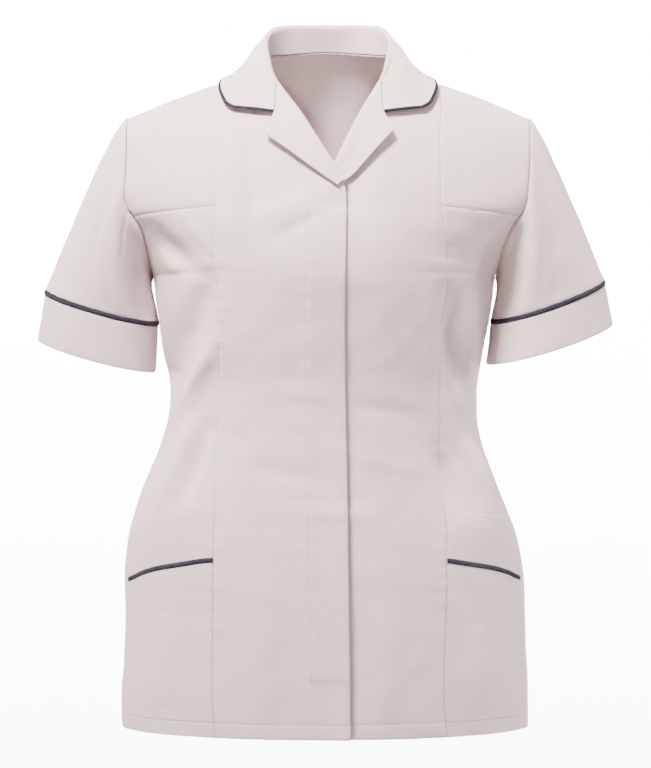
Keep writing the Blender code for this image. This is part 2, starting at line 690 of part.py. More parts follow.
def neck_seam(t):
    """Return the point of the neck seam at t, from -1 at the right gorge to 1 at the left one."""
    side = "left" if t >= 0 else "right"
    if abs(t) <= SHOULDER_T:
        shift = SECTION.at(0.0)[2]
        x = shift + NECK_HALF * math.sin(RIGHT_ANGLE * t / SHOULDER_T)
        return skin("back", angle_at(0.0, x), 0.0, WALL)
    gorge = locate("front", *roll_point(side, GORGE_Z))[1]
    level = gorge * (abs(t) - SHOULDER_T) / (1 - SHOULDER_T)
    return skin("front", seam_angle("edge", side, level), level, WALL)


def collar_station(row, sign):
    """Return the points of one cross section of the collar, from the neck seam to its outer edge."""
    side = "left" if sign > 0 else "right"
    edge = on_body(row.edge_face, COLLAR_SHIFT + sign * row.edge_x, row.edge_z, row.edge_lift)
    if row.t == 1.0:
        gorge = LAPELS[side][0]
        points = list(lapel_row(side, gorge, GORGE_SHARES, GORGE_GAP / 2))
        for share in COLLAR_EDGE_SHARES:
            x = mix(gorge.mid_x, COLLAR_SHIFT + sign * row.edge_x, share)
            z = mix(gorge.mid_z, row.edge_z, share)
            points.append(on_body("front", x, z, row.edge_lift))
        return np.array(points + [edge])
    seam = neck_seam(sign * row.t)
    fold = np.array([COLLAR_SHIFT + sign * row.fold_x, row.fold_y, row.fold_z])
    middle = np.array([COLLAR_SHIFT + sign * row.mid_x, row.mid_y, row.mid_z])
    up = unit(fold - seam)
    out = middle - seam
    out = unit(out - up * (out @ up))
    radius = min(COLLAR_FOLD_RADIUS, COLLAR_FOLD_SHARE * float(np.linalg.norm(fold - seam)))
    inner = fold - radius * (out + up)
    outer = fold + radius * (out - up)
    points = [seam, mix(seam, inner, 0.5), inner, fold, outer]
    for share in (0.25, 0.5, 0.75):
        bow = COLLAR_BOW * math.sin(math.pi * share)
        points.append(mix(outer, middle, share) + bow * out)
    points.append(middle)
    base = on_body(row.edge_face, COLLAR_SHIFT + sign * row.edge_x, row.edge_z, 0.0)
    normal = unit(edge - base)
    lie = middle - edge
    arrive = mix(edge, edge + lie - normal * (lie @ normal), 0.5)
    for share in COLLAR_EDGE_SHARES:
        points.append(mix(mix(middle, arrive, share), mix(arrive, edge, share), share))
    return np.array(points + [edge])


def raised(point, least):
    """Return a point moved out, where it has to be, to lie at least this far out of the body."""
    face = "back" if point[1] > 0 else "front"
    angle, level = locate(face, point[0], point[2])
    normal = outward(face, angle, level)
    lack = least - (point - skin(face, angle, level)) @ normal
    return point + normal * max(float(lack), 0.0)


def collar_grid():
    """Return the collar's rows of points, from the wearer's right gorge round to the left one."""
    stations = []
    for row in COLLAR:
        for sign in (-1.0, 1.0) if row.t else (1.0,):
            stations.append((sign * row.t, *collar_station(row, sign).ravel()))
    curve = Curve(stations)
    rows = []
    for t in np.linspace(-1, 1, COLLAR_ROWS + 1):
        row = curve.at(t).reshape(-1, 3)
        if abs(t) < 1:
            seam = neck_seam(t)
            along = neck_seam(t + STEP) - neck_seam(t - STEP)
            side = "back" if abs(t) < SHOULDER_T else "front"
            away = unit(np.cross(along, outward(side, *locate(side, seam[0], seam[2]))))
            row[0] = seam + away * STAND_GAP
            row[1] = mix(row[0], row[2], 0.5)
            row[4:] = [raised(point, COLLAR_CLEARANCE) for point in row[4:]]
        rows.append(row)
    return np.array(rows)


def collar(collection):
    """Make the collar, stand and fall in one, and the piping along the fall's edge."""
    grid = collar_grid()
    cloth("collar", grid.transpose(1, 0, 2), collection, side=-1.0)
    notch = len(TURN) + len(GORGE_SHARES) - 1
    edge = [grid[0, i] for i in range(notch, grid.shape[1] - 1)]
    inner = [grid[1, i] for i in range(notch, grid.shape[1] - 1)]
    edge += [row[-1] for row in grid]
    inner += [mix(row[-1], row[-2], 0.5) for row in grid]
    inner[len(edge) - len(grid)] = grid[1, -2]
    inner[-1] = grid[-2, -2]
    edge += [grid[-1, i] for i in range(grid.shape[1] - 2, notch - 1, -1)]
    inner += [grid[-2, i] for i in range(grid.shape[1] - 2, notch - 1, -1)]
    edge, inner = np.array(edge), np.array(inner)
    edge[0] += unit(edge[1] - edge[0]) * PIPING_END
    edge[-1] += unit(edge[-2] - edge[-1]) * PIPING_END
    away = unit(edge - inner)
    strip = np.array([edge + away * SEAM_GAP, edge + away * (PIPING_WIDTH + SEAM_GAP)])
    cloth("collar_piping", strip, collection, PIPING_COLOUR, PIPING_WALL, side=-1.0)


def armhole(side):
    """Return the armhole's points and outward directions, from the shoulder round the front."""
    sign = SIDES[side]
    levels = np.concatenate([YOKE_LEVELS, armhole_levels()[1:]])
    quarter = np.full_like(levels, sign * RIGHT_ANGLE)
    loop, out = [], []
    for face, order in (("front", slice(None, -1)), ("back", slice(None, 0, -1))):
        loop.append(skin(face, quarter, levels)[order])
        out.append(outward(face, quarter, levels)[order])
    return np.concatenate(loop), np.concatenate(out)


def sleeve_rings(side):
    """Return a function of the share down the sleeve, one of the length down the cuff, and its length."""
    sign = SIDES[side]
    start, out = armhole(side)
    count = len(start)
    around = 2 * math.pi * np.arange(count) / count
    ahead, top = np.sin(around)[:, None], np.cos(around)[:, None]
    under = (1 - top) / 2

    def points(ring):
        centre = np.array([(ring.outer_x + ring.inner_x) / 2, 0.0, (ring.outer_z + ring.inner_z) / 2])
        axis = np.array([ring.outer_x, 0.0, ring.outer_z]) - centre
        depth = np.array([0.0, -CUFF_HALF_DEPTH, -ring.front_drop])
        return centre + top * axis + ahead * depth

    piping, hem = (points(ring) for ring in CUFFS[side])
    fall = unit(hem - piping)
    arrive = unit(SLEEVE_CUFF_SHARE * fall + unit(piping - start))
    across = sign * (SLEEVE_LEAVE_OUT - SLEEVE_LEAVE_TURN * under)
    down = -SLEEVE_LEAVE_DOWN - SLEEVE_LEAVE_TURN * under
    leave = unit(np.hstack([across, -SLEEVE_LEAVE_APART * ahead, down]))
    reach = mix(SLEEVE_HEAD_REACH[side], SLEEVE_UNDER_REACH, under)
    end_reach = mix(SLEEVE_END_REACH, SLEEVE_UNDER_END_REACH, under)
    start = start + out * WALL + leave * mix(SLEEVE_SEAM_GAP, SLEEVE_UNDER_GAP, under)

    def sleeve(t):
        return (
            (1 + 2 * t) * (1 - t) ** 2 * start
            + t * (1 - t) ** 2 * leave * reach
            + t**2 * (3 - 2 * t) * piping
            - t**2 * (1 - t) * arrive * end_reach
        )

    def band(length):
        return piping + fall * length

    return sleeve, band, float(np.linalg.norm(hem - piping, axis=1).mean())


def sleeve_fold_height(around, down):
    """Return how far the sleeve's folds move it out or in."""
    height = np.zeros_like(around)
    for fold in SLEEVE_FOLDS:
        run = np.array([fold.around1 - fold.around0, fold.down1 - fold.down0])
        share = np.clip((down - fold.down0) / run[1], 0, 1)
        beyond = SLEEVE_FOLD_STRETCH * (down - fold.down0 - share * run[1])
        away = np.hypot(around - fold.around0 - share * run[0], beyond)
        height = height + fold.height * np.exp(-((away / fold.width) ** 2))
    return height


def sleeve(side, collection):
    """Make a sleeve, the piping at its end and its cuff band."""
    curve, band, cuff_length = sleeve_rings(side)
    shares = np.linspace(0, 1, SLEEVE_ROWS + 1)
    grid = np.array([curve(share) for share in shares])
    around = np.arange(grid.shape[1]) / grid.shape[1]
    centre = grid.mean(axis=1, keepdims=True)
    height = sleeve_fold_height(around[None, :], shares[:, None])
    height = height * np.sin(math.pi * np.clip(shares, 0, 1))[:, None] ** 0.5
    grid = grid + unit(grid - centre) * height[..., None]
    piping_lengths = np.array([SEAM_GAP, SEAM_GAP + PIPING_WIDTH])
    cuff_lengths = np.linspace(piping_lengths[1] + SEAM_GAP, cuff_length, CUFF_ROWS + 1)
    turn = 1 if side == "left" else -1
    pieces = (
        (f"sleeve_{side}", grid, CLOTH_COLOUR),
        (f"cuff_piping_{side}", np.array([band(length) for length in piping_lengths]), PIPING_COLOUR),
        (f"cuff_{side}", np.array([band(length) for length in cuff_lengths]), CLOTH_COLOUR),
    )
    for name, points, colour in pieces:
        cloth(name, points[:, ::turn], collection, colour, closed=True, side=-1.0)


def main():
    """Build every piece of the tunic."""
    for old in list(bpy.data.objects):
        bpy.data.objects.remove(old, do_unlink=True)
    tunic = bpy.data.collections.new("work_tunic")
    bpy.context.scene.collection.children.link(tunic)
    back_panel(tunic)
    for side in SIDES:
        front_panel(side, tunic)
        yoke(side, tunic)
        side_front(side, tunic)
        pocket(side, tunic)
        lapel(side, tunic)
        sleeve(side, tunic)
    collar(tunic)


main()
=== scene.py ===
"""Work tunic: the cloth, the piping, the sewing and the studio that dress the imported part."""

import logging
import math
from dataclasses import dataclass
from enum import Enum
from typing import Any, Callable, Iterable, NamedTuple, Sequence

import bmesh
import bpy
import numpy as np
from mathutils import Matrix, Vector


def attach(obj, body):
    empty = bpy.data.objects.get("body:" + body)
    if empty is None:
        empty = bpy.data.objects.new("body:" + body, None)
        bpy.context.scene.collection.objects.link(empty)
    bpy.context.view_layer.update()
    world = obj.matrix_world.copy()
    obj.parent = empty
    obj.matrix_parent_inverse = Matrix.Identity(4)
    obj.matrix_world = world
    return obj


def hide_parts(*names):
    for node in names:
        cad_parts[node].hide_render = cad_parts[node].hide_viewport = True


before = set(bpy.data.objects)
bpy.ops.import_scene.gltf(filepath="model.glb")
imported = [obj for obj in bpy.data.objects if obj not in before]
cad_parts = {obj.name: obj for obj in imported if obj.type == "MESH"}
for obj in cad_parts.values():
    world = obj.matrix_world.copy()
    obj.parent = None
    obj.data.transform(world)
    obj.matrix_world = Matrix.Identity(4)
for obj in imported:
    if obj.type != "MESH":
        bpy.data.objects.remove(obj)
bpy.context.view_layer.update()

Array = np.ndarray
Triple = tuple[float, float, float]
Colour = tuple[float, float, float, float]
LOG = logging.getLogger("work_tunic")
RIGHT_ANGLE = math.pi / 2
STEP = 0.001
GAP = 0.0001
NO_LINE = 1.0
EDGE_STEPS = (1.0, 2.1, 3.6)


class Side(Enum):
    """Half of the tunic, as its wearer has it."""

    RIGHT = "right"
    LEFT = "left"

    @property
    def sign(self) -> float:
        """Which way this half lies from the middle."""
        return -1.0 if self is Side.RIGHT else 1.0

    @property
    def column(self) -> int:
        """This half's column in a table of seams."""
        return 0 if self is Side.RIGHT else 1


class Face(Enum):
    """Front or back of the tunic."""

    FRONT = "front"
    BACK = "back"

    @property
    def other(self) -> "Face":
        """The other face."""
        return Face.BACK if self is Face.FRONT else Face.FRONT


class Shoulder(NamedTuple):
    """One cross section of the shoulders, whose ends lie on the armholes."""

    level: float
    end_z: float
    half: float
    shift: float
    end_front: float
    end_back: float
    mid_z: float
    front: float
    back: float
    corner: float
    fullness: float


class Trunk(NamedTuple):
    """One level cross section below the arms."""

    z: float
    half: float
    shift: float
    front: float
    back: float
    fullness: float


class Seam(NamedTuple):
    """Where a seam of the front lies at a height, on each side."""

    z: float
    right: float
    left: float


class Fold(NamedTuple):
    """A soft ridge or trough between two points of the front view."""

    x0: float
    z0: float
    x1: float
    z1: float
    width: float
    height: float


class SleeveFold(NamedTuple):
    """A fold of a sleeve: around it is 0 over the shoulder and 0.5 under the arm."""

    around0: float
    down0: float
    around1: float
    down1: float
    width: float
    height: float


class LapelRow(NamedTuple):
    """A lapel's row, from the roll line through a middle point to the outer edge."""

    roll_z: float
    mid_x: float
    mid_z: float
    edge_x: float
    edge_z: float


class Turn(NamedTuple):
    """A point of the turn at the roll line: inward over the front, and out of its inner face."""

    inward: float
    lift: float


class CollarRow(NamedTuple):
    """A cross section of half of the collar, from the middle of the back to the gorge."""

    t: float
    fold_x: float
    fold_y: float
    fold_z: float
    mid_x: float
    mid_y: float
    mid_z: float
    face: Face
    edge_x: float
    edge_z: float
    lift: float


class Ring(NamedTuple):
    """A ring at the end of a sleeve, in the front view."""

    outer_x: float
    outer_z: float
    inner_x: float
    inner_z: float
    front_drop: float


class PocketRow(NamedTuple):
    """A hip pocket's open top and piped seam, by distance from the middle of the body."""

    x: float
    top_z: float
    piping_z: float


WALL = 0.0012
PIPING_WALL = 0.0016
PIPING_WIDTH = 0.0032
PIPING_BULGE = 0.0007
NECK_HALF = 0.070
COLLAR_SHIFT = 0.0025
GORGE_Z = -0.020
BUST_LEVEL = 0.1317
UNDERARM_LEVEL = 0.2184
UNDERARM_Z = -0.215
HEM_Z = -0.686
HEM_LEVEL = UNDERARM_LEVEL + UNDERARM_Z - HEM_Z
YOKE_LEVELS = (0.0, 0.0131, 0.030, 0.0557, 0.0839, 0.1092, 0.1248, BUST_LEVEL)

SHOULDER = (
    Shoulder(0.0000, -0.0505, 0.2085, 0.003, 0.000, 0.000, 0.0090, -0.030, 0.065, 1.00, 2.00),
    Shoulder(0.0131, -0.0520, 0.2090, 0.003, -0.013, 0.013, 0.0055, -0.036, 0.072, 0.75, 2.00),
    Shoulder(0.0299, -0.0595, 0.2090, 0.003, -0.028, 0.029, -0.0017, -0.046, 0.081, 0.45, 2.00),
    Shoulder(0.0557, -0.0810, 0.2085, 0.003, -0.043, 0.046, -0.0280, -0.067, 0.095, 0.15, 2.00),
    Shoulder(0.0839, -0.1085, 0.2080, 0.002, -0.051, 0.055, -0.0630, -0.088, 0.105, 0.00, 1.90),
    Shoulder(0.1092, -0.1340, 0.2075, 0.001, -0.055, 0.058, -0.1000, -0.105, 0.111, 0.00, 1.80),
    Shoulder(0.1248, -0.1480, 0.2035, 0.001, -0.055, 0.056, -0.1280, -0.115, 0.114, 0.00, 1.70),
    Shoulder(0.1317, -0.1546, 0.1985, 0.001, -0.054, 0.054, -0.1423, -0.119, 0.115, 0.00, 1.65),
    Shoulder(0.1545, -0.1730, 0.1880, 0.000, -0.046, 0.046, -0.1630, -0.127, 0.116, 0.00, 1.50),
    Shoulder(0.1814, -0.1950, 0.1820, -0.001, -0.026, 0.027, -0.1890, -0.133, 0.116, 0.00, 1.35),
    Shoulder(0.2057, -0.2110, 0.1790, -0.001, -0.007, 0.008, -0.2090, -0.135, 0.115, 0.00, 1.15),
    Shoulder(0.2184, -0.2150, 0.1780, -0.001, 0.000, 0.000, -0.2190, -0.135, 0.114, 0.00, 1.10),
)
TRUNK = (
    Trunk(-0.245, 0.1745, -0.0015, -0.132, 0.112, 1.05),
    Trunk(-0.290, 0.1670, -0.0025, -0.126, 0.108, 1.00),
    Trunk(-0.335, 0.1595, -0.0020, -0.120, 0.104, 1.00),
    Trunk(-0.360, 0.1605, -0.0030, -0.119, 0.104, 1.00),
    Trunk(-0.389, 0.1670, -0.0045, -0.119, 0.107, 1.00),
    Trunk(-0.440, 0.1865, -0.0050, -0.122, 0.118, 1.00),
    Trunk(-0.490, 0.2030, -0.0030, -0.126, 0.126, 1.00),
    Trunk(-0.528, 0.2080, -0.0015, -0.128, 0.129, 1.00),
    Trunk(-0.590, 0.2090, 0.0000, -0.129, 0.130, 1.00),
    Trunk(-0.660, 0.2120, -0.0005, -0.130, 0.131, 1.00),
    Trunk(HEM_Z, 0.2115, -0.0005, -0.130, 0.131, 1.00),
)
PRINCESS = (
    Seam(0.000, -0.1240, 0.1200),
    Seam(-0.045, -0.1220, 0.1195),
    Seam(-0.085, -0.1185, 0.1170),
    Seam(-0.147, -0.1120, 0.1175),
    Seam(-0.200, -0.1140, 0.1235),
    Seam(-0.235, -0.1115, 0.1235),
    Seam(-0.288, -0.1072, 0.1190),
    Seam(-0.335, -0.1078, 0.1164),
    Seam(-0.388, -0.1103, 0.1170),
    Seam(-0.436, -0.1112, 0.1210),
    Seam(-0.476, -0.1131, 0.1232),
    Seam(-0.560, -0.1140, 0.1225),
    Seam(-0.640, -0.1140, 0.1200),
    Seam(HEM_Z, -0.1120, 0.1232),
)
FRONT_EDGE = (
    Seam(0.0150, -0.0670, 0.0730),
    Seam(GORGE_Z, -0.0500, 0.0560),
    Seam(-0.0535, -0.0266, 0.0368),
    Seam(-0.0784, -0.0113, 0.0239),
    Seam(-0.1086, 0.0073, 0.0090),
    Seam(-0.1275, 0.0190, -0.0010),
    Seam(-0.1400, 0.0207, -0.0110),
    Seam(-0.2600, 0.0187, -0.0135),
    Seam(-0.4500, 0.0212, -0.0115),
    Seam(HEM_Z, 0.0245, -0.0085),
)
SIDE_FORWARD = ((0.0, 0.0), (UNDERARM_LEVEL, 0.0), (0.340, 0.10), (0.480, 0.26), (HEM_LEVEL, 0.26))

FOLDS = {
    Face.FRONT: (
        Fold(-0.178, -0.168, -0.138, -0.207, 0.010, -0.0035),
        Fold(-0.120, -0.226, -0.152, -0.312, 0.015, -0.0052),
        Fold(-0.113, -0.286, -0.151, -0.366, 0.008, 0.0036),
        Fold(-0.122, -0.374, -0.147, -0.452, 0.009, -0.0040),
        Fold(-0.135, -0.366, -0.168, -0.450, 0.008, 0.0036),
        Fold(-0.098, -0.060, -0.088, -0.185, 0.012, 0.0020),
        Fold(-0.066, -0.160, 0.004, -0.135, 0.012, 0.0020),
        Fold(0.127, -0.240, 0.131, -0.330, 0.012, -0.0055),
        Fold(0.150, -0.245, 0.147, -0.330, 0.010, 0.0035),
        Fold(0.116, -0.395, 0.136, -0.455, 0.013, -0.0045),
        Fold(0.150, -0.400, 0.176, -0.465, 0.012, 0.0030),
        Fold(-0.080, -0.392, 0.085, -0.400, 0.012, 0.0005),
    ),
    Face.BACK: (
        Fold(-0.170, -0.170, -0.125, -0.235, 0.014, -0.0045),
        Fold(0.172, -0.165, 0.120, -0.225, 0.013, -0.0040),
        Fold(-0.060, -0.290, -0.046, -0.420, 0.016, 0.0045),
        Fold(0.052, -0.300, 0.064, -0.435, 0.015, 0.0040),
        Fold(-0.010, -0.350, 0.006, -0.430, 0.018, -0.0040),
        Fold(-0.125, -0.330, -0.080, -0.370, 0.012, -0.0040),
        Fold(0.130, -0.335, 0.090, -0.372, 0.012, -0.0035),
        Fold(-0.120, -0.520, -0.132, -0.670, 0.018, -0.0035),
        Fold(0.110, -0.540, 0.126, -0.675, 0.018, -0.0035),
    ),
}
CREASES = {
    Face.FRONT: (
        Fold(-0.122, -0.312, -0.152, -0.372, 0.004, -0.0007),
        Fold(-0.116, -0.392, -0.134, -0.448, 0.004, 0.0006),
        Fold(-0.098, -0.372, -0.070, -0.398, 0.007, -0.0006),
        Fold(-0.064, -0.330, 0.010, -0.344, 0.008, 0.0005),
        Fold(-0.082, -0.412, 0.016, -0.430, 0.009, -0.0006),
        Fold(-0.050, -0.455, 0.060, -0.462, 0.009, 0.0007),
        Fold(0.024, -0.348, 0.098, -0.362, 0.008, -0.0005),
        Fold(0.030, -0.402, 0.108, -0.420, 0.008, 0.0005),
        Fold(0.140, -0.255, 0.134, -0.300, 0.004, 0.0010),
        Fold(0.124, -0.270, 0.150, -0.345, 0.006, -0.0010),
        Fold(0.122, -0.310, 0.146, -0.372, 0.006, 0.0010),
        Fold(0.128, -0.385, 0.160, -0.450, 0.006, -0.0010),
        Fold(0.140, -0.380, 0.170, -0.438, 0.006, 0.0009),
        Fold(-0.150, -0.150, -0.120, -0.190, 0.006, 0.0010),
        Fold(-0.172, -0.190, -0.150, -0.215, 0.005, 0.0012),
        Fold(0.170, -0.185, 0.150, -0.222, 0.006, -0.0014),
        Fold(0.160, -0.200, 0.136, -0.226, 0.005, 0.0008),
        Fold(-0.108, -0.070, -0.102, -0.160, 0.006, -0.0010),
        Fold(-0.080, -0.075, -0.072, -0.170, 0.006, -0.0009),
        Fold(-0.060, -0.185, 0.006, -0.152, 0.006, -0.0008),
        Fold(-0.160, -0.560, -0.166, -0.660, 0.014, 0.0014),
        Fold(0.150, -0.570, 0.158, -0.668, 0.014, 0.0014),
        Fold(-0.070, -0.520, -0.060, -0.670, 0.018, 0.0012),
        Fold(0.070, -0.540, 0.064, -0.672, 0.018, 0.0012),
    ),
    Face.BACK: (
        Fold(-0.150, -0.190, -0.118, -0.222, 0.006, 0.0012),
        Fold(0.152, -0.186, 0.114, -0.214, 0.006, 0.0012),
        Fold(-0.146, -0.300, -0.092, -0.338, 0.006, -0.0014),
        Fold(-0.140, -0.352, -0.070, -0.384, 0.006, 0.0012),
        Fold(-0.150, -0.392, -0.086, -0.410, 0.007, -0.0012),
        Fold(0.148, -0.305, 0.096, -0.340, 0.006, -0.0014),
        Fold(0.142, -0.356, 0.074, -0.386, 0.006, 0.0012),
        Fold(0.150, -0.396, 0.090, -0.414, 0.007, -0.0012),
        Fold(-0.036, -0.310, 0.030, -0.318, 0.008, -0.0008),
        Fold(-0.050, -0.385, 0.046, -0.392, 0.008, 0.0009),
        Fold(-0.024, -0.105, -0.018, -0.220, 0.018, 0.0012),
        Fold(0.040, -0.120, 0.032, -0.230, 0.018, 0.0010),
        Fold(0.020, -0.540, 0.026, -0.672, 0.020, 0.0014),
        Fold(-0.062, -0.560, -0.070, -0.676, 0.018, 0.0012),
    ),
}
SLEEVE_FOLDS = (
    SleeveFold(0.24, 0.10, 0.32, 0.95, 0.040, 0.0030),
    SleeveFold(0.36, 0.25, 0.40, 0.95, 0.045, -0.0060),
    SleeveFold(0.14, 0.05, 0.20, 0.55, 0.035, -0.0025),
    SleeveFold(0.64, 0.15, 0.60, 0.90, 0.050, -0.0050),
    SleeveFold(0.78, 0.10, 0.72, 0.70, 0.040, 0.0030),
    SleeveFold(0.28, 0.02, 0.30, 0.45, 0.014, -0.0012),
    SleeveFold(0.19, 0.30, 0.25, 0.80, 0.016, 0.0010),
    SleeveFold(0.44, 0.15, 0.46, 0.80, 0.018, 0.0018),
    SleeveFold(0.70, 0.05, 0.68, 0.55, 0.014, -0.0012),
    SleeveFold(0.86, 0.05, 0.84, 0.40, 0.016, -0.0008),
)

OVERLAP_DEPTH = 0.0030
OVERLAP_FLAT = 0.026
OVERLAP_END = 0.060
OVERLAP_TOP_Z = -0.050
OVERLAP_FULL_Z = -0.100
UNDER_LAPEL_DEPTH = 0.0038
UNDER_LAPEL_Z = -0.118
UNDER_LAPEL_REACH = 0.030

LAPELS = {
    Side.RIGHT: (
        LapelRow(GORGE_Z, -0.0515, -0.0505, -0.0611, -0.0768),
        LapelRow(-0.0500, -0.0330, -0.0720, -0.0368, -0.0942),
        LapelRow(-0.0880, -0.0090, -0.0998, -0.0125, -0.1116),
        LapelRow(-0.1235, 0.0140, -0.1260, 0.0118, -0.1290),
    ),
    Side.LEFT: (
        LapelRow(GORGE_Z, 0.0580, -0.0505, 0.0682, -0.0730),
        LapelRow(-0.0470, 0.0446, -0.0703, 0.0490, -0.0936),
        LapelRow(-0.0800, 0.0264, -0.0971, 0.0297, -0.1142),
        LapelRow(-0.1120, 0.0100, -0.1195, 0.0130, -0.1270),
    ),
}
TURN = (
    Turn(-0.0005, WALL),
    Turn(-0.0014, WALL + 0.0002),
    Turn(-0.0019, WALL + 0.0010),
    Turn(-0.0014, WALL + 0.0019),
    Turn(0.0010, WALL + 0.0025),
)
GORGE_GAP = 0.0007
SHOULDER_T = 0.6
FRONT, BACK = Face.FRONT, Face.BACK
COLLAR = (
    CollarRow(0.00, 0.0, 0.0610, 0.0555, 0.0, 0.0830, 0.0330, BACK, 0.0, 0.0040, 0.0045),
    CollarRow(0.15, 0.033, 0.058, 0.055, 0.0375, 0.0770, 0.0310, BACK, 0.0380, 0.0010, 0.0045),
    CollarRow(0.30, 0.0560, 0.0410, 0.0510, 0.0645, 0.0530, 0.0250, BACK, 0.0715, -0.008, 0.0045),
    CollarRow(0.45, 0.0645, 0.0230, 0.0415, 0.0780, 0.0290, 0.0180, BACK, 0.0960, -0.013, 0.0040),
    CollarRow(0.60, 0.0655, 0.0, 0.0320, 0.0805, 0.0, 0.0165, BACK, 0.1045, -0.0105, 0.0035),
    CollarRow(0.70, 0.0648, -0.023, 0.0225, 0.0830, -0.019, 0.0115, FRONT, 0.1085, -0.0155, 0.0035),
    CollarRow(0.80, 0.0633, -0.0395, 0.0120, 0.0855, -0.035, 0.0030, FRONT, 0.109, -0.0240, 0.0040),
    CollarRow(
        0.92, 0.0592, -0.0524, -0.0048, 0.078, -0.054, -0.0155, FRONT, 0.104, -0.0375, 0.0035
    ),
    CollarRow(1.00, 0.0, 0.0, 0.0, 0.0, 0.0, 0.0, FRONT, 0.0945, -0.0460, 0.0035),
)
CUFFS = {
    Side.RIGHT: (
        Ring(-0.2925, -0.2293, -0.1765, -0.2620, 0.0070),
        Ring(-0.3010, -0.2800, -0.1790, -0.3160, 0.0105),
    ),
    Side.LEFT: (
        Ring(0.2915, -0.2190, 0.1755, -0.2600, 0.0080),
        Ring(0.3010, -0.2660, 0.1700, -0.3060, 0.0105),
    ),
}
POCKET = (
    PocketRow(0.100, -0.4550, -0.5040),
    PocketRow(0.120, -0.4550, -0.5055),
    PocketRow(0.148, -0.4600, -0.5105),
    PocketRow(0.170, -0.4650, -0.5150),
    PocketRow(0.185, -0.4710, -0.5200),
    PocketRow(0.198, -0.4790, -0.5270),
    PocketRow(0.210, -0.4860, -0.5330),
)


class Curve:
    """Smooth curves through the columns of a table, all read by its first column."""

    def __init__(self, rows: Iterable[Sequence[float]]) -> None:
        """Work out the slopes.

        Args:
            rows: the table's rows, in any order.
        """
        table = np.array(sorted(tuple(row) for row in rows), float)
        self.keys = table[:, 0]
        self.values = table[:, 1:]
        slopes = np.diff(self.values, axis=0) / np.diff(self.keys)[:, None]
        product = slopes[1:] * slopes[:-1]
        total = slopes[1:] + slopes[:-1]
        middle = np.where(product > 0, 2 * product / np.where(product > 0, total, 1), 0)
        self.tangents = np.vstack([slopes[:1], middle, slopes[-1:]])

    def at(self, key: Any) -> Array:
        """Read the table's other columns.

        Args:
            key: a key or an array of keys.

        Returns:
            The columns, one for each item of the first axis.
        """
        key = np.clip(np.asarray(key, float), self.keys[0], self.keys[-1])
        i = np.clip(np.searchsorted(self.keys, key, side="right") - 1, 0, len(self.keys) - 2)
        width = (self.keys[i + 1] - self.keys[i])[..., None]
        t = (key - self.keys[i])[..., None] / width
        value = (
            (1 + 2 * t) * (1 - t) ** 2 * self.values[i]
            + t**2 * (3 - 2 * t) * self.values[i + 1]
            + t * (1 - t) ** 2 * width * self.tangents[i]
            - t**2 * (1 - t) * width * self.tangents[i + 1]
        )
        return np.moveaxis(value, -1, 0)


def mix(a: Any, b: Any, share: Any) -> Any:
    """Return the value that lies the given share of the way from a to b."""
    return a + (b - a) * share


def smooth_step(value: Any) -> Any:
    """Return 0 below 0, 1 above 1 and an even rise between."""
    t = np.clip(value, 0.0, 1.0)
    return t * t * (3 - 2 * t)


def unit(vectors: Array) -> Array:
    """Return vectors at length 1."""
    return vectors / np.maximum(np.linalg.norm(vectors, axis=-1, keepdims=True), 1e-12)


def bell(away: Any, width: float) -> Any:
    """Return a soft bump that is 1 at no distance and fades over a width."""
    return np.exp(-((away / width) ** 2))


def lengths(points: Array) -> Array:
    """Return how far along its row each point lies."""
    steps = np.linalg.norm(np.diff(points, axis=-2), axis=-1)
    return np.concatenate([np.zeros(steps.shape[:-1] + (1,)), np.cumsum(steps, axis=-1)], axis=-1)


def unsewn(points: Array) -> Array:
    """Return distances to sewing for points that have none near."""
    return np.full(points.shape, NO_LINE)


def places(start: float, end: float, step: float, edge: float = 0.0) -> Array:
    """Space places evenly, closer together at both ends.

    Args:
        start: the first place.
        end: the last place.
        step: the distance between places.
        edge: the first distance at each end, which then grows, or 0 for even spacing.

    Returns:
        The places, in order.
    """
    count = max(int(round((end - start) / step)), 2)
    even = np.linspace(start, end, count + 1)
    if not edge:
        return even
    near = edge * np.array(EDGE_STEPS)
    inner = even[(even > start + near[-1] + edge) & (even < end - near[-1] - edge)]
    return np.concatenate([[start], start + near, inner, end - near[::-1], [end]])


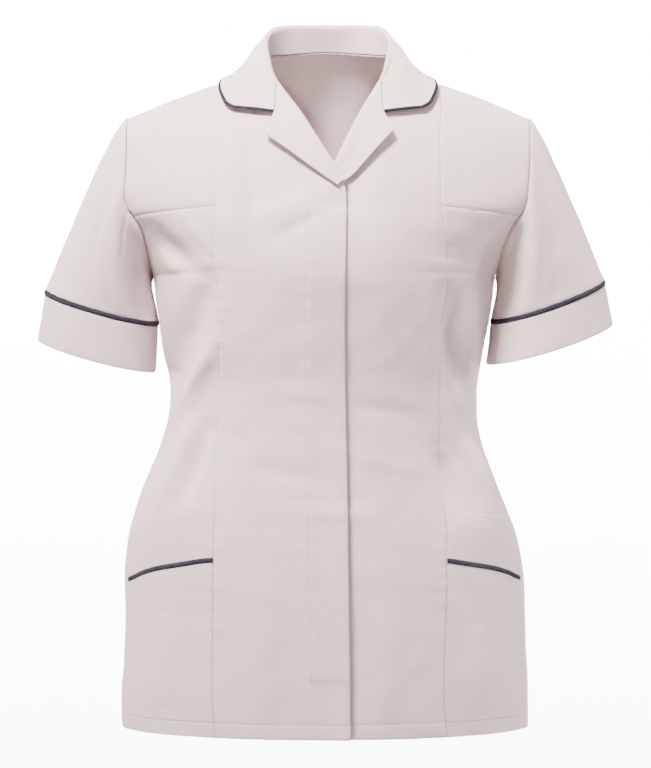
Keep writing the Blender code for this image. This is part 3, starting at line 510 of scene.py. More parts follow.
@dataclass(frozen=True)
class BodyForm:
    """The body of the tunic as one closed form, which every panel is read from."""

    neck_round: float = 0.6
    neck_rise: float = 0.018
    neck_rise_start: float = 0.105
    neck_rise_width: float = 0.045
    shoulder_slope: float = 1.6
    slope_reach: float = 0.985
    fold_fade: float = 0.03
    search_steps: int = 40
    seam_steps: int = 12
    crease_taper: float = 0.7
    taper_ends: tuple[float, float] = (0.02, 0.98)
    unevenness: float = 0.00040
    quick_share: float = 0.45
    fold_strength: float = 1.8
    fold_end: float = 0.3
    crease_strength: float = 2.3

    def __post_init__(self) -> None:
        """Make the curves of the tables."""
        rows = list(SHOULDER)
        for row in TRUNK:
            level = UNDERARM_LEVEL + UNDERARM_Z - row.z
            rows.append(
                Shoulder(
                    level=level,
                    end_z=row.z,
                    half=row.half,
                    shift=row.shift,
                    end_front=0.0,
                    end_back=0.0,
                    mid_z=row.z,
                    front=row.front,
                    back=row.back,
                    corner=0.0,
                    fullness=row.fullness,
                )
            )
        object.__setattr__(self, "section", Curve(rows))
        object.__setattr__(self, "princess", Curve(PRINCESS))
        object.__setattr__(self, "edge", Curve(FRONT_EDGE))
        object.__setattr__(self, "forward", Curve(SIDE_FORWARD))

    def half_form(self, face: Face, angle: Array, level: Array) -> Array:
        """Return points of one face of the form.

        Args:
            face: the face.
            angle: 0 at its middle and a quarter circle at its ends.
            level: the lengths down from the shoulder.

        Returns:
            The points.
        """
        section = self.section.at(level)
        end_z, half, shift, end_front, end_back, mid_z, front, back, corner, fullness = section
        across = np.abs(np.sin(angle))
        neck = np.clip(1 - (half * across / NECK_HALF) ** 2, 0, 1) ** self.neck_round
        depth = mix(np.abs(np.cos(angle)) ** fullness, neck, corner)
        x = shift + half * np.sin(angle)
        rise = smooth_step((self.neck_rise_start - half * across) / self.neck_rise_width)
        z = mix(mid_z, end_z, across**self.shoulder_slope) + self.neck_rise * corner * rise
        y = mix(end_back, back, depth) if face is Face.BACK else mix(end_front, front, depth)
        return np.stack([x, y, z], axis=-1)

    def form(self, face: Face, angle: Any, level: Any) -> Array:
        """Return points of the body, where an angle past a quarter circle is on the other face.

        Args:
            face: the face that the angles start from.
            angle: the angles around the body.
            level: the lengths down from the shoulder.

        Returns:
            The points.
        """
        angle, level = np.broadcast_arrays(np.asarray(angle, float), np.asarray(level, float))
        near = self.half_form(face, angle, level)
        far = self.half_form(face.other, np.sign(angle) * math.pi - angle, level)
        return np.where((np.abs(angle) > RIGHT_ANGLE)[..., None], far, near)

    def outward(self, face: Face, angle: Any, level: Any) -> Array:
        """Return unit vectors that point out of the body's form.

        Args:
            face: the face that the angles start from.
            angle: the angles around the body.
            level: the lengths down from the shoulder.

        Returns:
            The vectors.
        """
        angle = np.asarray(angle, float) * self.slope_reach
        low = np.clip(np.asarray(level, float), STEP, HEM_LEVEL - STEP)
        along = self.form(face, angle + STEP, low) - self.form(face, angle - STEP, low)
        down = self.form(face, angle, low + STEP) - self.form(face, angle, low - STEP)
        turn = -1.0 if face is Face.BACK else 1.0
        return unit(turn * np.cross(down, along))

    def fold_height(self, face: Face, point: Array) -> Array:
        """Return how far the folds and creases of a face move its points out or in.

        Args:
            face: the face whose tables are read.
            point: the points of the form.

        Returns:
            A height for each point.
        """
        height = np.zeros(point.shape[:-1])
        place = point[..., [0, 2]]
        for fold in FOLDS[face] + CREASES[face]:
            start = np.array([fold.x0, fold.z0])
            run = np.array([fold.x1, fold.z1]) - start
            share = np.clip((place - start) @ run / (run @ run), 0, 1)
            away = np.linalg.norm(place - start - share[..., None] * run, axis=-1)
            arch = np.sin(math.pi * np.clip(share, *self.taper_ends)) ** self.crease_taper
            if fold in CREASES[face]:
                taper = self.crease_strength * arch
            else:
                taper = self.fold_strength * mix(self.fold_end, 1.0, arch)
            height = height + fold.height * taper * bell(away, fold.width)
        return height

    def waves(self, point: Array) -> Array:
        """Return the faint unevenness of cloth that has been worn.

        Args:
            point: the points.

        Returns:
            A height for each point.
        """
        x, y, z = np.moveaxis(point, -1, 0)
        slow = np.sin(x * 71 + 2.1 * np.sin(z * 37 + 1.0) + y * 33)
        slow = slow * np.sin(z * 58 + 1.7 * np.sin(x * 41))
        quick = np.sin(x * 163 + 1.9 * np.sin(z * 92) + y * 71)
        quick = quick * np.sin(z * 121 + 2.3 * np.sin(x * 77 + 2.0))
        return self.unevenness * (slow + self.quick_share * quick)

    def skin(self, face: Face, angle: Any, level: Any, lift: Any = 0.0) -> Array:
        """Return points of the body's cloth, folds and all.

        Args:
            face: the face that the angles start from.
            angle: the angles around the body.
            level: the lengths down from the shoulder.
            lift: how far the points are lifted out of the cloth's inner face.

        Returns:
            The points.
        """
        point = self.form(face, angle, level)
        on_front = point[..., 1] < 0
        front, back = self.fold_height(Face.FRONT, point), self.fold_height(Face.BACK, point)
        faded = smooth_step(np.abs(point[..., 1]) / self.fold_fade)
        height = np.where(on_front, front, back) * faded + self.waves(point)
        return point + self.outward(face, angle, level) * (height + lift)[..., None]

    def angle_at(self, level: Any, x: Any) -> Array:
        """Return the angle of a distance across the body at a level."""
        half, shift = self.section.at(level)[[1, 2]]
        return np.arcsin(np.clip((x - shift) / half, -1, 1))

    def seam_angle(self, seam: Curve, side: Side, level: Any) -> Array:
        """Return the angle of a front seam of one side at each level.

        Args:
            seam: the seam's curve.
            side: the side.
            level: the lengths down from the shoulder.

        Returns:
            The angles.
        """
        level = np.asarray(level, float)
        z = self.section.at(level)[5]
        for _ in range(self.seam_steps):
            angle = self.angle_at(level, seam.at(z)[side.column])
            z = self.form(Face.FRONT, angle, level)[..., 2]
        return angle

    def locate(self, face: Face, x: Any, z: Any) -> tuple[Array, Array]:
        """Return the angle and level of a face's point at a place in the front view.

        Args:
            face: the face.
            x: the places across.
            z: the heights.

        Returns:
            The angles and the levels.
        """
        low = np.zeros(np.broadcast(x, z).shape)
        high = np.full_like(low, HEM_LEVEL)
        for _ in range(self.search_steps):
            level = (low + high) / 2
            above = self.form(face, self.angle_at(level, x), level)[..., 2] > z
            low = np.where(above, level, low)
            high = np.where(above, high, level)
        return self.angle_at(level, x), level

    def on_body(self, face: Face, x: Any, z: Any, lift: Any) -> Array:
        """Return the lifted point of a face's cloth at a place in the front view."""
        angle, level = self.locate(face, np.asarray(x, float), np.asarray(z, float))
        return self.skin(face, angle, level, np.asarray(lift, float))

    def side_angle(self, side: Side, level: Any) -> Array:
        """Return the angle, on the front, of the seam that joins it to the back."""
        return side.sign * (RIGHT_ANGLE - self.forward.at(level)[0])

    def lap_depth(self, side: Side, x: Any, z: Any) -> Array:
        """Return how deep a front lies to pass under the other one.

        Args:
            side: the front's side.
            x: the places across.
            z: the heights.

        Returns:
            A depth for each place.
        """
        if side is Side.RIGHT:
            return np.zeros(np.shape(x))
        across = smooth_step((OVERLAP_END - x) / (OVERLAP_END - OVERLAP_FLAT))
        down = smooth_step((OVERLAP_TOP_Z - z) / (OVERLAP_TOP_Z - OVERLAP_FULL_Z))
        lapel_share = bell(z - UNDER_LAPEL_Z, UNDER_LAPEL_REACH)
        return across * (OVERLAP_DEPTH * down + UNDER_LAPEL_DEPTH * lapel_share)

    def roll_point(self, side: Side, z: float) -> Array:
        """Return the place, in the front view, of a front's roll line at a height."""
        return np.array([self.edge.at(z)[side.column], z])


class Socket:
    """A shader value that Python's operators work on."""

    def __init__(self, shader: "Shader", link: Any) -> None:
        """Wrap an output socket."""
        self.shader = shader
        self.link = link

    def __add__(self, other: Any) -> "Socket":
        """Add."""
        return self.shader.maths("ADD", self, other)

    __radd__ = __add__

    def __sub__(self, other: Any) -> "Socket":
        """Subtract."""
        return self.shader.maths("SUBTRACT", self, other)

    def __rsub__(self, other: Any) -> "Socket":
        """Subtract this from another value."""
        return self.shader.maths("SUBTRACT", other, self)

    def __mul__(self, other: Any) -> "Socket":
        """Multiply."""
        return self.shader.maths("MULTIPLY", self, other)

    __rmul__ = __mul__

    def __truediv__(self, other: Any) -> "Socket":
        """Divide."""
        return self.shader.maths("DIVIDE", self, other)

    def __pow__(self, other: Any) -> "Socket":
        """Raise to a power."""
        return self.shader.maths("POWER", self, other)


class Shader:
    """A material's node tree, built in Python expressions."""

    sheen_roughness = 0.45
    specular = 0.25

    def __init__(self, name: str, roughness: float, sheen: float = 0.0) -> None:
        """Start a Principled material.

        Args:
            name: the material's name.
            roughness: the roughness of its surface.
            sheen: how much of a cloth's soft sheen it has.
        """
        self.material = bpy.data.materials.new(name)
        self.material.use_nodes = True
        self.tree = self.material.node_tree
        self.surface = self.tree.nodes["Principled BSDF"]
        self.surface.inputs["Roughness"].default_value = roughness
        self.surface.inputs["Sheen Weight"].default_value = sheen
        self.surface.inputs["Sheen Roughness"].default_value = self.sheen_roughness
        self.surface.inputs["Specular IOR Level"].default_value = self.specular

    def node(
        self, kind: str, settings: dict[str, Any], inputs: dict[str, Any], output: str
    ) -> Socket:
        """Add a node.

        Args:
            kind: the node's type.
            settings: its properties, which are set first.
            inputs: values or links, by the socket's name or identifier.
            output: the name or identifier of the output that is wanted.

        Returns:
            That output.
        """
        made = self.tree.nodes.new(kind)
        for key, value in settings.items():
            setattr(made, key, value)
        for key, value in inputs.items():
            self.feed(self.find(made.inputs, key), value)
        return Socket(self, self.find(made.outputs, output))

    def find(self, sockets: Any, name: str) -> Any:
        """Return the enabled socket of a name or identifier."""
        return next(s for s in sockets if name in (s.identifier, s.name) and s.enabled)

    def feed(self, socket: Any, value: Any) -> None:
        """Give an input its link or its value.

        Args:
            socket: the input.
            value: a wrapped output, or a plain value.
        """
        if isinstance(value, Socket):
            self.tree.links.new(value.link, socket)
        else:
            socket.default_value = value

    def maths(self, operation: str, *values: Any) -> Socket:
        """Add a Math node.

        Args:
            operation: the node's operation.
            values: its inputs, links or numbers.

        Returns:
            Its value.
        """
        made = self.tree.nodes.new("ShaderNodeMath")
        made.operation = operation
        for socket, value in zip(made.inputs, values):
            self.feed(socket, value)
        return Socket(self, made.outputs[0])

    def near(self, away: Socket, width: float) -> Socket:
        """Return a soft line: 1 where the distance is 0, fading over a width."""
        scaled = away * (1 / width)
        return self.maths("EXPONENT", scaled * scaled * -1.0)

    def attribute(self, name: str) -> tuple[Socket, Socket, Socket]:
        """Return the three numbers of a surface attribute."""
        vector = self.node("ShaderNodeAttribute", {"attribute_name": name}, {}, "Vector")
        return self.parts(vector)

    def parts(self, vector: Socket) -> tuple[Socket, Socket, Socket]:
        """Take a vector apart.

        Args:
            vector: the vector.

        Returns:
            The numbers.
        """
        made = self.tree.nodes.new("ShaderNodeSeparateXYZ")
        self.tree.links.new(vector.link, made.inputs[0])
        x, y, z = (Socket(self, output) for output in made.outputs)
        return x, y, z

    def position(self) -> Socket:
        """Return the place on the piece."""
        return self.node("ShaderNodeTexCoord", {}, {}, "Object")

    def noise(self, vector: Socket, scale: float, detail: float = 2.0) -> Socket:
        """Return a noise of a scale, from 0 to 1."""
        inputs = {"Vector": vector, "Scale": scale, "Detail": detail}
        return self.node("ShaderNodeTexNoise", {}, inputs, "Fac")

    def tint(self, factor: Socket, a: Any, b: Any) -> Socket:
        """Return a colour between two."""
        inputs = {"Factor_Float": factor, "A_Color": a, "B_Color": b}
        return self.node("ShaderNodeMix", {"data_type": "RGBA"}, inputs, "Result_Color")

    def finish(
        self, colour: Socket, height: Socket, distance: float, strength: float
    ) -> bpy.types.Material:
        """Join colour and relief to the surface.

        Args:
            colour: the surface's colour.
            height: its relief, from 0 to 1.
            distance: how high the relief stands.
            strength: how strongly it shows.

        Returns:
            The material.
        """
        inputs = {"Height": height, "Distance": distance, "Strength": strength}
        bump = self.node("ShaderNodeBump", {}, inputs, "Normal")
        self.tree.links.new(colour.link, self.surface.inputs["Base Color"])
        self.tree.links.new(bump.link, self.surface.inputs["Normal"])
        return self.material


@dataclass(frozen=True)
class ClothFinish:
    """Pale woven polycotton, with painted shade along its seams, pressed lines and edges."""

    name: str = "pale_polycotton"
    colour: Colour = (0.790, 0.655, 0.642, 1.0)
    worn: Colour = (0.762, 0.626, 0.614, 1.0)
    # painted shade: the darker colour that seams, pressed lines and edges take, where shade falls
    # in their grooves
    groove_shade: Colour = (0.50, 0.41, 0.40, 1.0)
    thread_pitch: float = 0.00046
    slub_scale: float = 260.0
    cloud_scale: float = 14.0
    roughness: float = 0.86
    sheen: float = 0.12
    press_width: float = 0.0009
    seam_shade_width: float = 0.0009
    press_depth: float = 0.9
    press_shade: float = 0.35
    seam_shade: float = 0.55
    weave_height: float = 0.10
    slub_height: float = 0.22
    slub_stretch: Triple = (4.0, 1.0, 1.0)
    cloud_detail: float = 3.0
    bump_depth: float = 0.0004
    strength: float = 0.8

    def material(self) -> bpy.types.Material:
        """Make the woven cloth, pressed in along its lines of sewing and darkened there with
        painted shade.

        Returns:
            The material.
        """
        shader = Shader(self.name, self.roughness, self.sheen)
        uv = shader.node("ShaderNodeUVMap", {"uv_map": "cloth"}, {}, "UV")
        across, down, _ = shader.parts(uv)
        turn = 2 * math.pi / (2 * self.thread_pitch)
        weave = shader.maths("SINE", across * turn) * shader.maths("SINE", down * turn)
        stretch = {"Vector": uv, "Scale": self.slub_stretch}
        drawn = shader.node("ShaderNodeMapping", {}, stretch, "Vector")
        slub = shader.noise(drawn, self.slub_scale)
        cloud = shader.noise(shader.position(), self.cloud_scale, self.cloud_detail)
        first, second, third = shader.attribute("sewn")
        press = shader.near(first, self.press_width) + shader.near(second, self.press_width)
        colour = shader.tint(cloud, self.colour, self.worn)
        # painted shade along the seams and along the pressed lines
        seam = shader.near(third, self.seam_shade_width)
        colour = shader.tint(press * self.press_shade + seam * self.seam_shade, colour, self.groove_shade)
        height = weave * self.weave_height + slub * self.slub_height - press * self.press_depth
        return shader.finish(colour, height, self.bump_depth, self.strength)


@dataclass(frozen=True)
class PipingFinish:
    """Dark navy corded piping, cut on the bias."""

    name: str = "navy_piping"
    colour: Colour = (0.021, 0.020, 0.030, 1.0)
    lighter: Colour = (0.036, 0.035, 0.047, 1.0)
    twill_pitch: float = 0.0008
    twill_shade: float = 0.3
    fuzz_scale: float = 900.0
    fuzz_shade: float = 0.5
    relief_share: float = 0.5
    bump_depth: float = 0.0003
    strength: float = 0.6
    roughness: float = 0.9
    sheen: float = 0.0

    def material(self) -> bpy.types.Material:
        """Make the twilled cloth of the piping.

        Returns:
            The material.
        """
        shader = Shader(self.name, self.roughness, self.sheen)
        uv = shader.node("ShaderNodeUVMap", {"uv_map": "cloth"}, {}, "UV")
        across, down, _ = shader.parts(uv)
        turn = 2 * math.pi / self.twill_pitch
        twill = shader.maths("SINE", (across + down) * turn)
        fuzz = shader.noise(shader.position(), self.fuzz_scale)
        shade = twill * self.twill_shade + fuzz * self.fuzz_shade
        height = twill * self.relief_share + fuzz * self.relief_share
        colour = shader.tint(shade, self.colour, self.lighter)
        return shader.finish(colour, height, self.bump_depth, self.strength)


@dataclass(frozen=True)
class FuzzFinish:
    """Two shades of a colour, mixed by a noise that also roughens the surface."""

    name: str
    colour: Colour
    shade: Colour
    fuzz_scale: float
    roughness: float
    sheen: float
    bump_depth: float
    strength: float

    def material(self) -> bpy.types.Material:
        """Make the material.

        Returns:
            The material.
        """
        shader = Shader(self.name, self.roughness, self.sheen)
        fuzz = shader.noise(shader.position(), self.fuzz_scale)
        colour = shader.tint(fuzz, self.colour, self.shade)
        return shader.finish(colour, fuzz, self.bump_depth, self.strength)


@dataclass(frozen=True)
class ThreadFinish(FuzzFinish):
    """Pale sewing thread, twisted."""

    name: str = "pale_thread"
    colour: Colour = (0.80, 0.74, 0.72, 1.0)
    shade: Colour = (0.66, 0.59, 0.575, 1.0)
    fuzz_scale: float = 2600.0
    roughness: float = 0.6
    sheen: float = 0.1
    bump_depth: float = 0.0001
    strength: float = 0.5


@dataclass(frozen=True)
class StudioFinish(FuzzFinish):
    """The studio's white paper."""

    name: str = "studio_paper"
    colour: Colour = (0.93, 0.94, 0.93, 1.0)
    shade: Colour = (0.90, 0.91, 0.90, 1.0)
    fuzz_scale: float = 3.0
    roughness: float = 0.9
    sheen: float = 0.0
    bump_depth: float = 0.0005
    strength: float = 0.1


class Slot(Enum):
    """The record's material slots."""

    CLOTH = "cloth"
    PIPING = "piping"


@dataclass
class Workroom:
    """Makes sheets, strips and stitches out of rows of points."""

    cloth: bpy.types.Material
    piping: bpy.types.Material
    thread: bpy.types.Material
    sharp_angle: float = 50.0
    cord_shares: tuple[float, ...] = (0.0, 0.06, 0.18, 0.34, 0.5, 0.66, 0.82, 0.94, 1.0)
    long_edge: float = 0.9
    end_place: float = 0.4
    end_scale: float = 0.55
    end_dip: float = 0.35
    tack_thread: float = 0.0006

    def sheet(
        self,
        name: str,
        grid: Array,
        wall: float = WALL,
        offset: float = 1.0,
        closed: bool = False,
        slot: Slot = Slot.CLOTH,
        sewn: Array | None = None,
    ) -> bpy.types.Object:
        """Make one sheet of cloth with a wall.

        Args:
            name: the name of the CAD node that it stands for.
            grid: rows of points.
            wall: the cloth's thickness.
            offset: 1 where the wall grows the way that the sheet faces, -1 where it grows back.
            closed: whether each row is a ring.
            slot: the record's slot that it takes its finish from.
            sewn: distances to its lines of sewing, for each point, along which the cloth takes
                painted shade.

        Returns:
            The piece.
        """
        rows, columns = grid.shape[:2]
        wrap = columns if closed else columns - 1
        i, j = np.meshgrid(np.arange(rows - 1), np.arange(wrap), indexing="ij")
        k = (j + 1) % columns
        here, below = i * columns, (i + 1) * columns
        corners = np.stack([here + j, below + j, below + k, here + k], -1)
        mesh = bpy.data.meshes.new(f"{name}_{slot.value}")
        mesh.from_pydata(grid.reshape(-1, 3).tolist(), [], corners.reshape(-1, 4).tolist())
        ring = np.concatenate([grid, grid[:, :1]], axis=1) if closed else grid
        u = lengths(ring)
        u = u - u[:, u.shape[1] // 2, None]
        v = lengths(ring.transpose(1, 0, 2)).T
        uv = mesh.uv_layers.new(name="cloth")
        flat = np.stack([u, v], -1)
        loops = np.stack([flat[i, j], flat[i + 1, j], flat[i + 1, j + 1], flat[i, j + 1]], axis=2)
        uv.data.foreach_set("uv", loops.astype(np.float32).ravel())
        # distances that place the painted shade of seams, pressed lines and edges
        lines = mesh.attributes.new("sewn", "FLOAT_VECTOR", "POINT")
        sewn = unsewn(grid) if sewn is None else sewn
        lines.data.foreach_set("vector", sewn.astype(np.float32).ravel())
        mesh.materials.append(self.cloth if slot is Slot.CLOTH else self.piping)
        piece = bpy.data.objects.new(mesh.name, mesh)
        bpy.context.scene.collection.objects.link(piece)
        solid = piece.modifiers.new("Wall", "SOLIDIFY")
        solid.thickness = wall
        solid.offset = offset
        solid.use_even_offset = True
        solid.use_quality_normals = True
        self.apply(piece)
        return self.place(piece, slot, name)

    def apply(self, piece: bpy.types.Object) -> None:
        """Apply a piece's modifiers and smooth its faces.

        Args:
            piece: the piece.
        """
        bpy.ops.object.select_all(action="DESELECT")
        bpy.context.view_layer.objects.active = piece
        piece.select_set(True)
        for modifier in list(piece.modifiers):
            bpy.ops.object.modifier_apply(modifier=modifier.name)
        bpy.ops.object.shade_smooth_by_angle(angle=math.radians(self.sharp_angle))
        piece.select_set(False)

    def place(self, piece: bpy.types.Object, slot: Slot, node: str | None) -> bpy.types.Object:
        """Let a piece ride on the tunic and stand for its node.

        Args:
            piece: the piece.
            slot: not used.
            node: the CAD node that it stands for, if any.

        Returns:
            The piece.
        """
        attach(piece, "root")
        if node:
            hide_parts(node)
        return piece

    def cord_strip(
        self,
        name: str,
        start: Array,
        end: Array,
        out: Array,
        closed: bool = False,
        offset: float = -1.0,
    ) -> bpy.types.Object:
        """Make piping: a strip between two lines, rounded up along its middle.

        Args:
            name: the piece's name.
            start: the points of one edge.
            end: the points of the other edge.
            out: unit vectors out of the face.
            closed: whether the strip is a ring.
            offset: which way the wall grows.

        Returns:
            The piece.
        """
        grid = []
        for share in self.cord_shares:
            bulge = PIPING_BULGE * math.sqrt(max(1 - (2 * share - 1) ** 2, 0.0))
            grid.append(mix(start, end, share) + out * bulge)
        return self.sheet(name, np.array(grid), PIPING_WALL, offset, closed, Slot.PIPING)

    def stitch(self) -> tuple[Array, list[tuple[int, ...]]]:
        """Model one stitch, along X.

        Returns:
            Its points and its faces.
        """
        bpy.ops.object.select_all(action="DESELECT")
        bpy.ops.mesh.primitive_cylinder_add(
            vertices=6, radius=0.5, depth=1.0, end_fill_type="TRIFAN", rotation=(0, RIGHT_ANGLE, 0)
        )
        made = bpy.context.active_object
        bpy.ops.object.transform_apply(location=True, rotation=True, scale=True)
        bpy.ops.object.mode_set(mode="EDIT")
        mesh = bmesh.from_edit_mesh(made.data)
        for vertex in mesh.verts:
            vertex.select = False
        mesh.select_flush(False)
        for edge in mesh.edges:
            edge.select = abs(edge.verts[0].co.x - edge.verts[1].co.x) > self.long_edge
        bmesh.update_edit_mesh(made.data)
        bpy.ops.mesh.subdivide(number_cuts=1, smoothness=0.0)
        mesh = bmesh.from_edit_mesh(made.data)
        for vertex in mesh.verts:
            if abs(vertex.co.x) > self.end_place:
                vertex.co.y *= self.end_scale
                vertex.co.z = vertex.co.z * self.end_scale - self.end_dip
        bmesh.update_edit_mesh(made.data)
        bpy.ops.object.mode_set(mode="OBJECT")
        points = np.array([v.co[:] for v in made.data.vertices])
        faces = [tuple(p.vertices) for p in made.data.polygons]
        bpy.data.objects.remove(made, do_unlink=True)
        return points, faces

    def stitching(
        self,
        name: str,
        path: Array,
        out: Array,
        pitch: float = 0.0031,
        length: float = 0.0025,
        width: float = 0.00042,
    ) -> bpy.types.Object:
        """Lay stitches along a line.

        Args:
            name: the piece's name.
            path: the points of the line, on the cloth.
            out: unit vectors out of the cloth at those points.
            pitch: the distance from stitch to stitch.
            length: the length of a stitch.
            width: the thickness of the thread.

        Returns:
            The piece.
        """
        along = lengths(path)
        count = max(int(along[-1] / pitch), 1)
        middles = (np.arange(count) + 0.5) * along[-1] / count

        def read(values: Array, at: Array) -> Array:
            """Return values at lengths along the path."""
            return np.stack([np.interp(at, along, values[:, axis]) for axis in range(3)], -1)

        centre = read(path, middles)
        ahead = unit(read(path, middles + length / 2) - read(path, middles - length / 2))
        up = unit(read(out, middles))
        aside = unit(np.cross(up, ahead))
        up = np.cross(ahead, aside)
        points, faces = self.stitch()
        scaled = points * np.array([length, width, width])
        laid = centre[:, None] + (
            scaled[None, :, 0, None] * ahead[:, None]
            + scaled[None, :, 1, None] * aside[:, None]
            + scaled[None, :, 2, None] * up[:, None]
        )
        every = [tuple(v + n * len(points) for v in face) for n in range(count) for face in faces]
        mesh = bpy.data.meshes.new(name)
        mesh.from_pydata(laid.reshape(-1, 3).tolist(), [], every)
        mesh.shade_smooth()
        mesh.materials.append(self.thread)
        piece = bpy.data.objects.new(name, mesh)
        bpy.context.scene.collection.objects.link(piece)
        return self.place(piece, Slot.CLOTH, None)

    def bar_tack(
        self, name: str, path: Array, out: Array, width: float = 0.0016, pitch: float = 0.0009
    ) -> bpy.types.Object:
        """Sew a short dense zigzag along a line.

        Args:
            name: the piece's name.
            path: the points of the line, on the cloth.
            out: unit vectors out of the cloth at those points.
            width: how wide the zigzag is.
            pitch: the distance from one turn to the next.

        Returns:
            The piece.
        """
        along = lengths(path)
        turns = np.arange(0.0, along[-1], pitch)
        middle = np.stack([np.interp(turns, along, path[:, axis]) for axis in range(3)], -1)
        up = np.stack([np.interp(turns, along, out[:, axis]) for axis in range(3)], -1)
        aside = unit(np.cross(up, path[-1] - path[0]))
        way = np.where(np.arange(len(turns)) % 2 == 0, 0.5, -0.5)[:, None] * width
        zigzag = middle + aside * way + up * GAP
        step = float(np.linalg.norm(np.diff(zigzag, axis=0), axis=1).mean())
        return self.stitching(name, zigzag, up, pitch=step, length=step, width=self.tack_thread)


@dataclass
class Sewing:
    """How seams draw the cloth in and pucker it."""

    valley: float = 0.0007
    valley_width: float = 0.0012
    roll: float = 0.00018
    roll_place: float = 0.0045
    roll_width: float = 0.0035
    pucker: float = 0.00042
    pucker_reach: float = 0.0085
    pucker_pitch: float = 0.0125
    edge_width: float = 0.0012

    def edge(self, away: Array, depth: float = 0.0005) -> Array:
        """Return how far the cloth turns in at a folded edge."""
        return depth * bell(away, self.edge_width)

    def relief(self, away: Array, along: Array) -> Array:
        """Return how far the cloth moves out or in beside a seam.

        Args:
            away: distances from the seam.
            along: places along the seam.

        Returns:
            A height for each point.
        """
        turn = 2 * math.pi / self.pucker_pitch
        wave = np.sin(along * turn + 1.9 * np.sin(along * 41.0) + 0.8 * np.sin(along * 97.0))
        strong = 0.55 + 0.45 * np.sin(along * 23.0 + 1.0)
        pucker = self.pucker * wave * strong * np.exp(-away / self.pucker_reach)
        return (
            -self.valley * bell(away, self.valley_width)
            + self.roll * bell(away - self.roll_place, self.roll_width)
            + pucker
        )


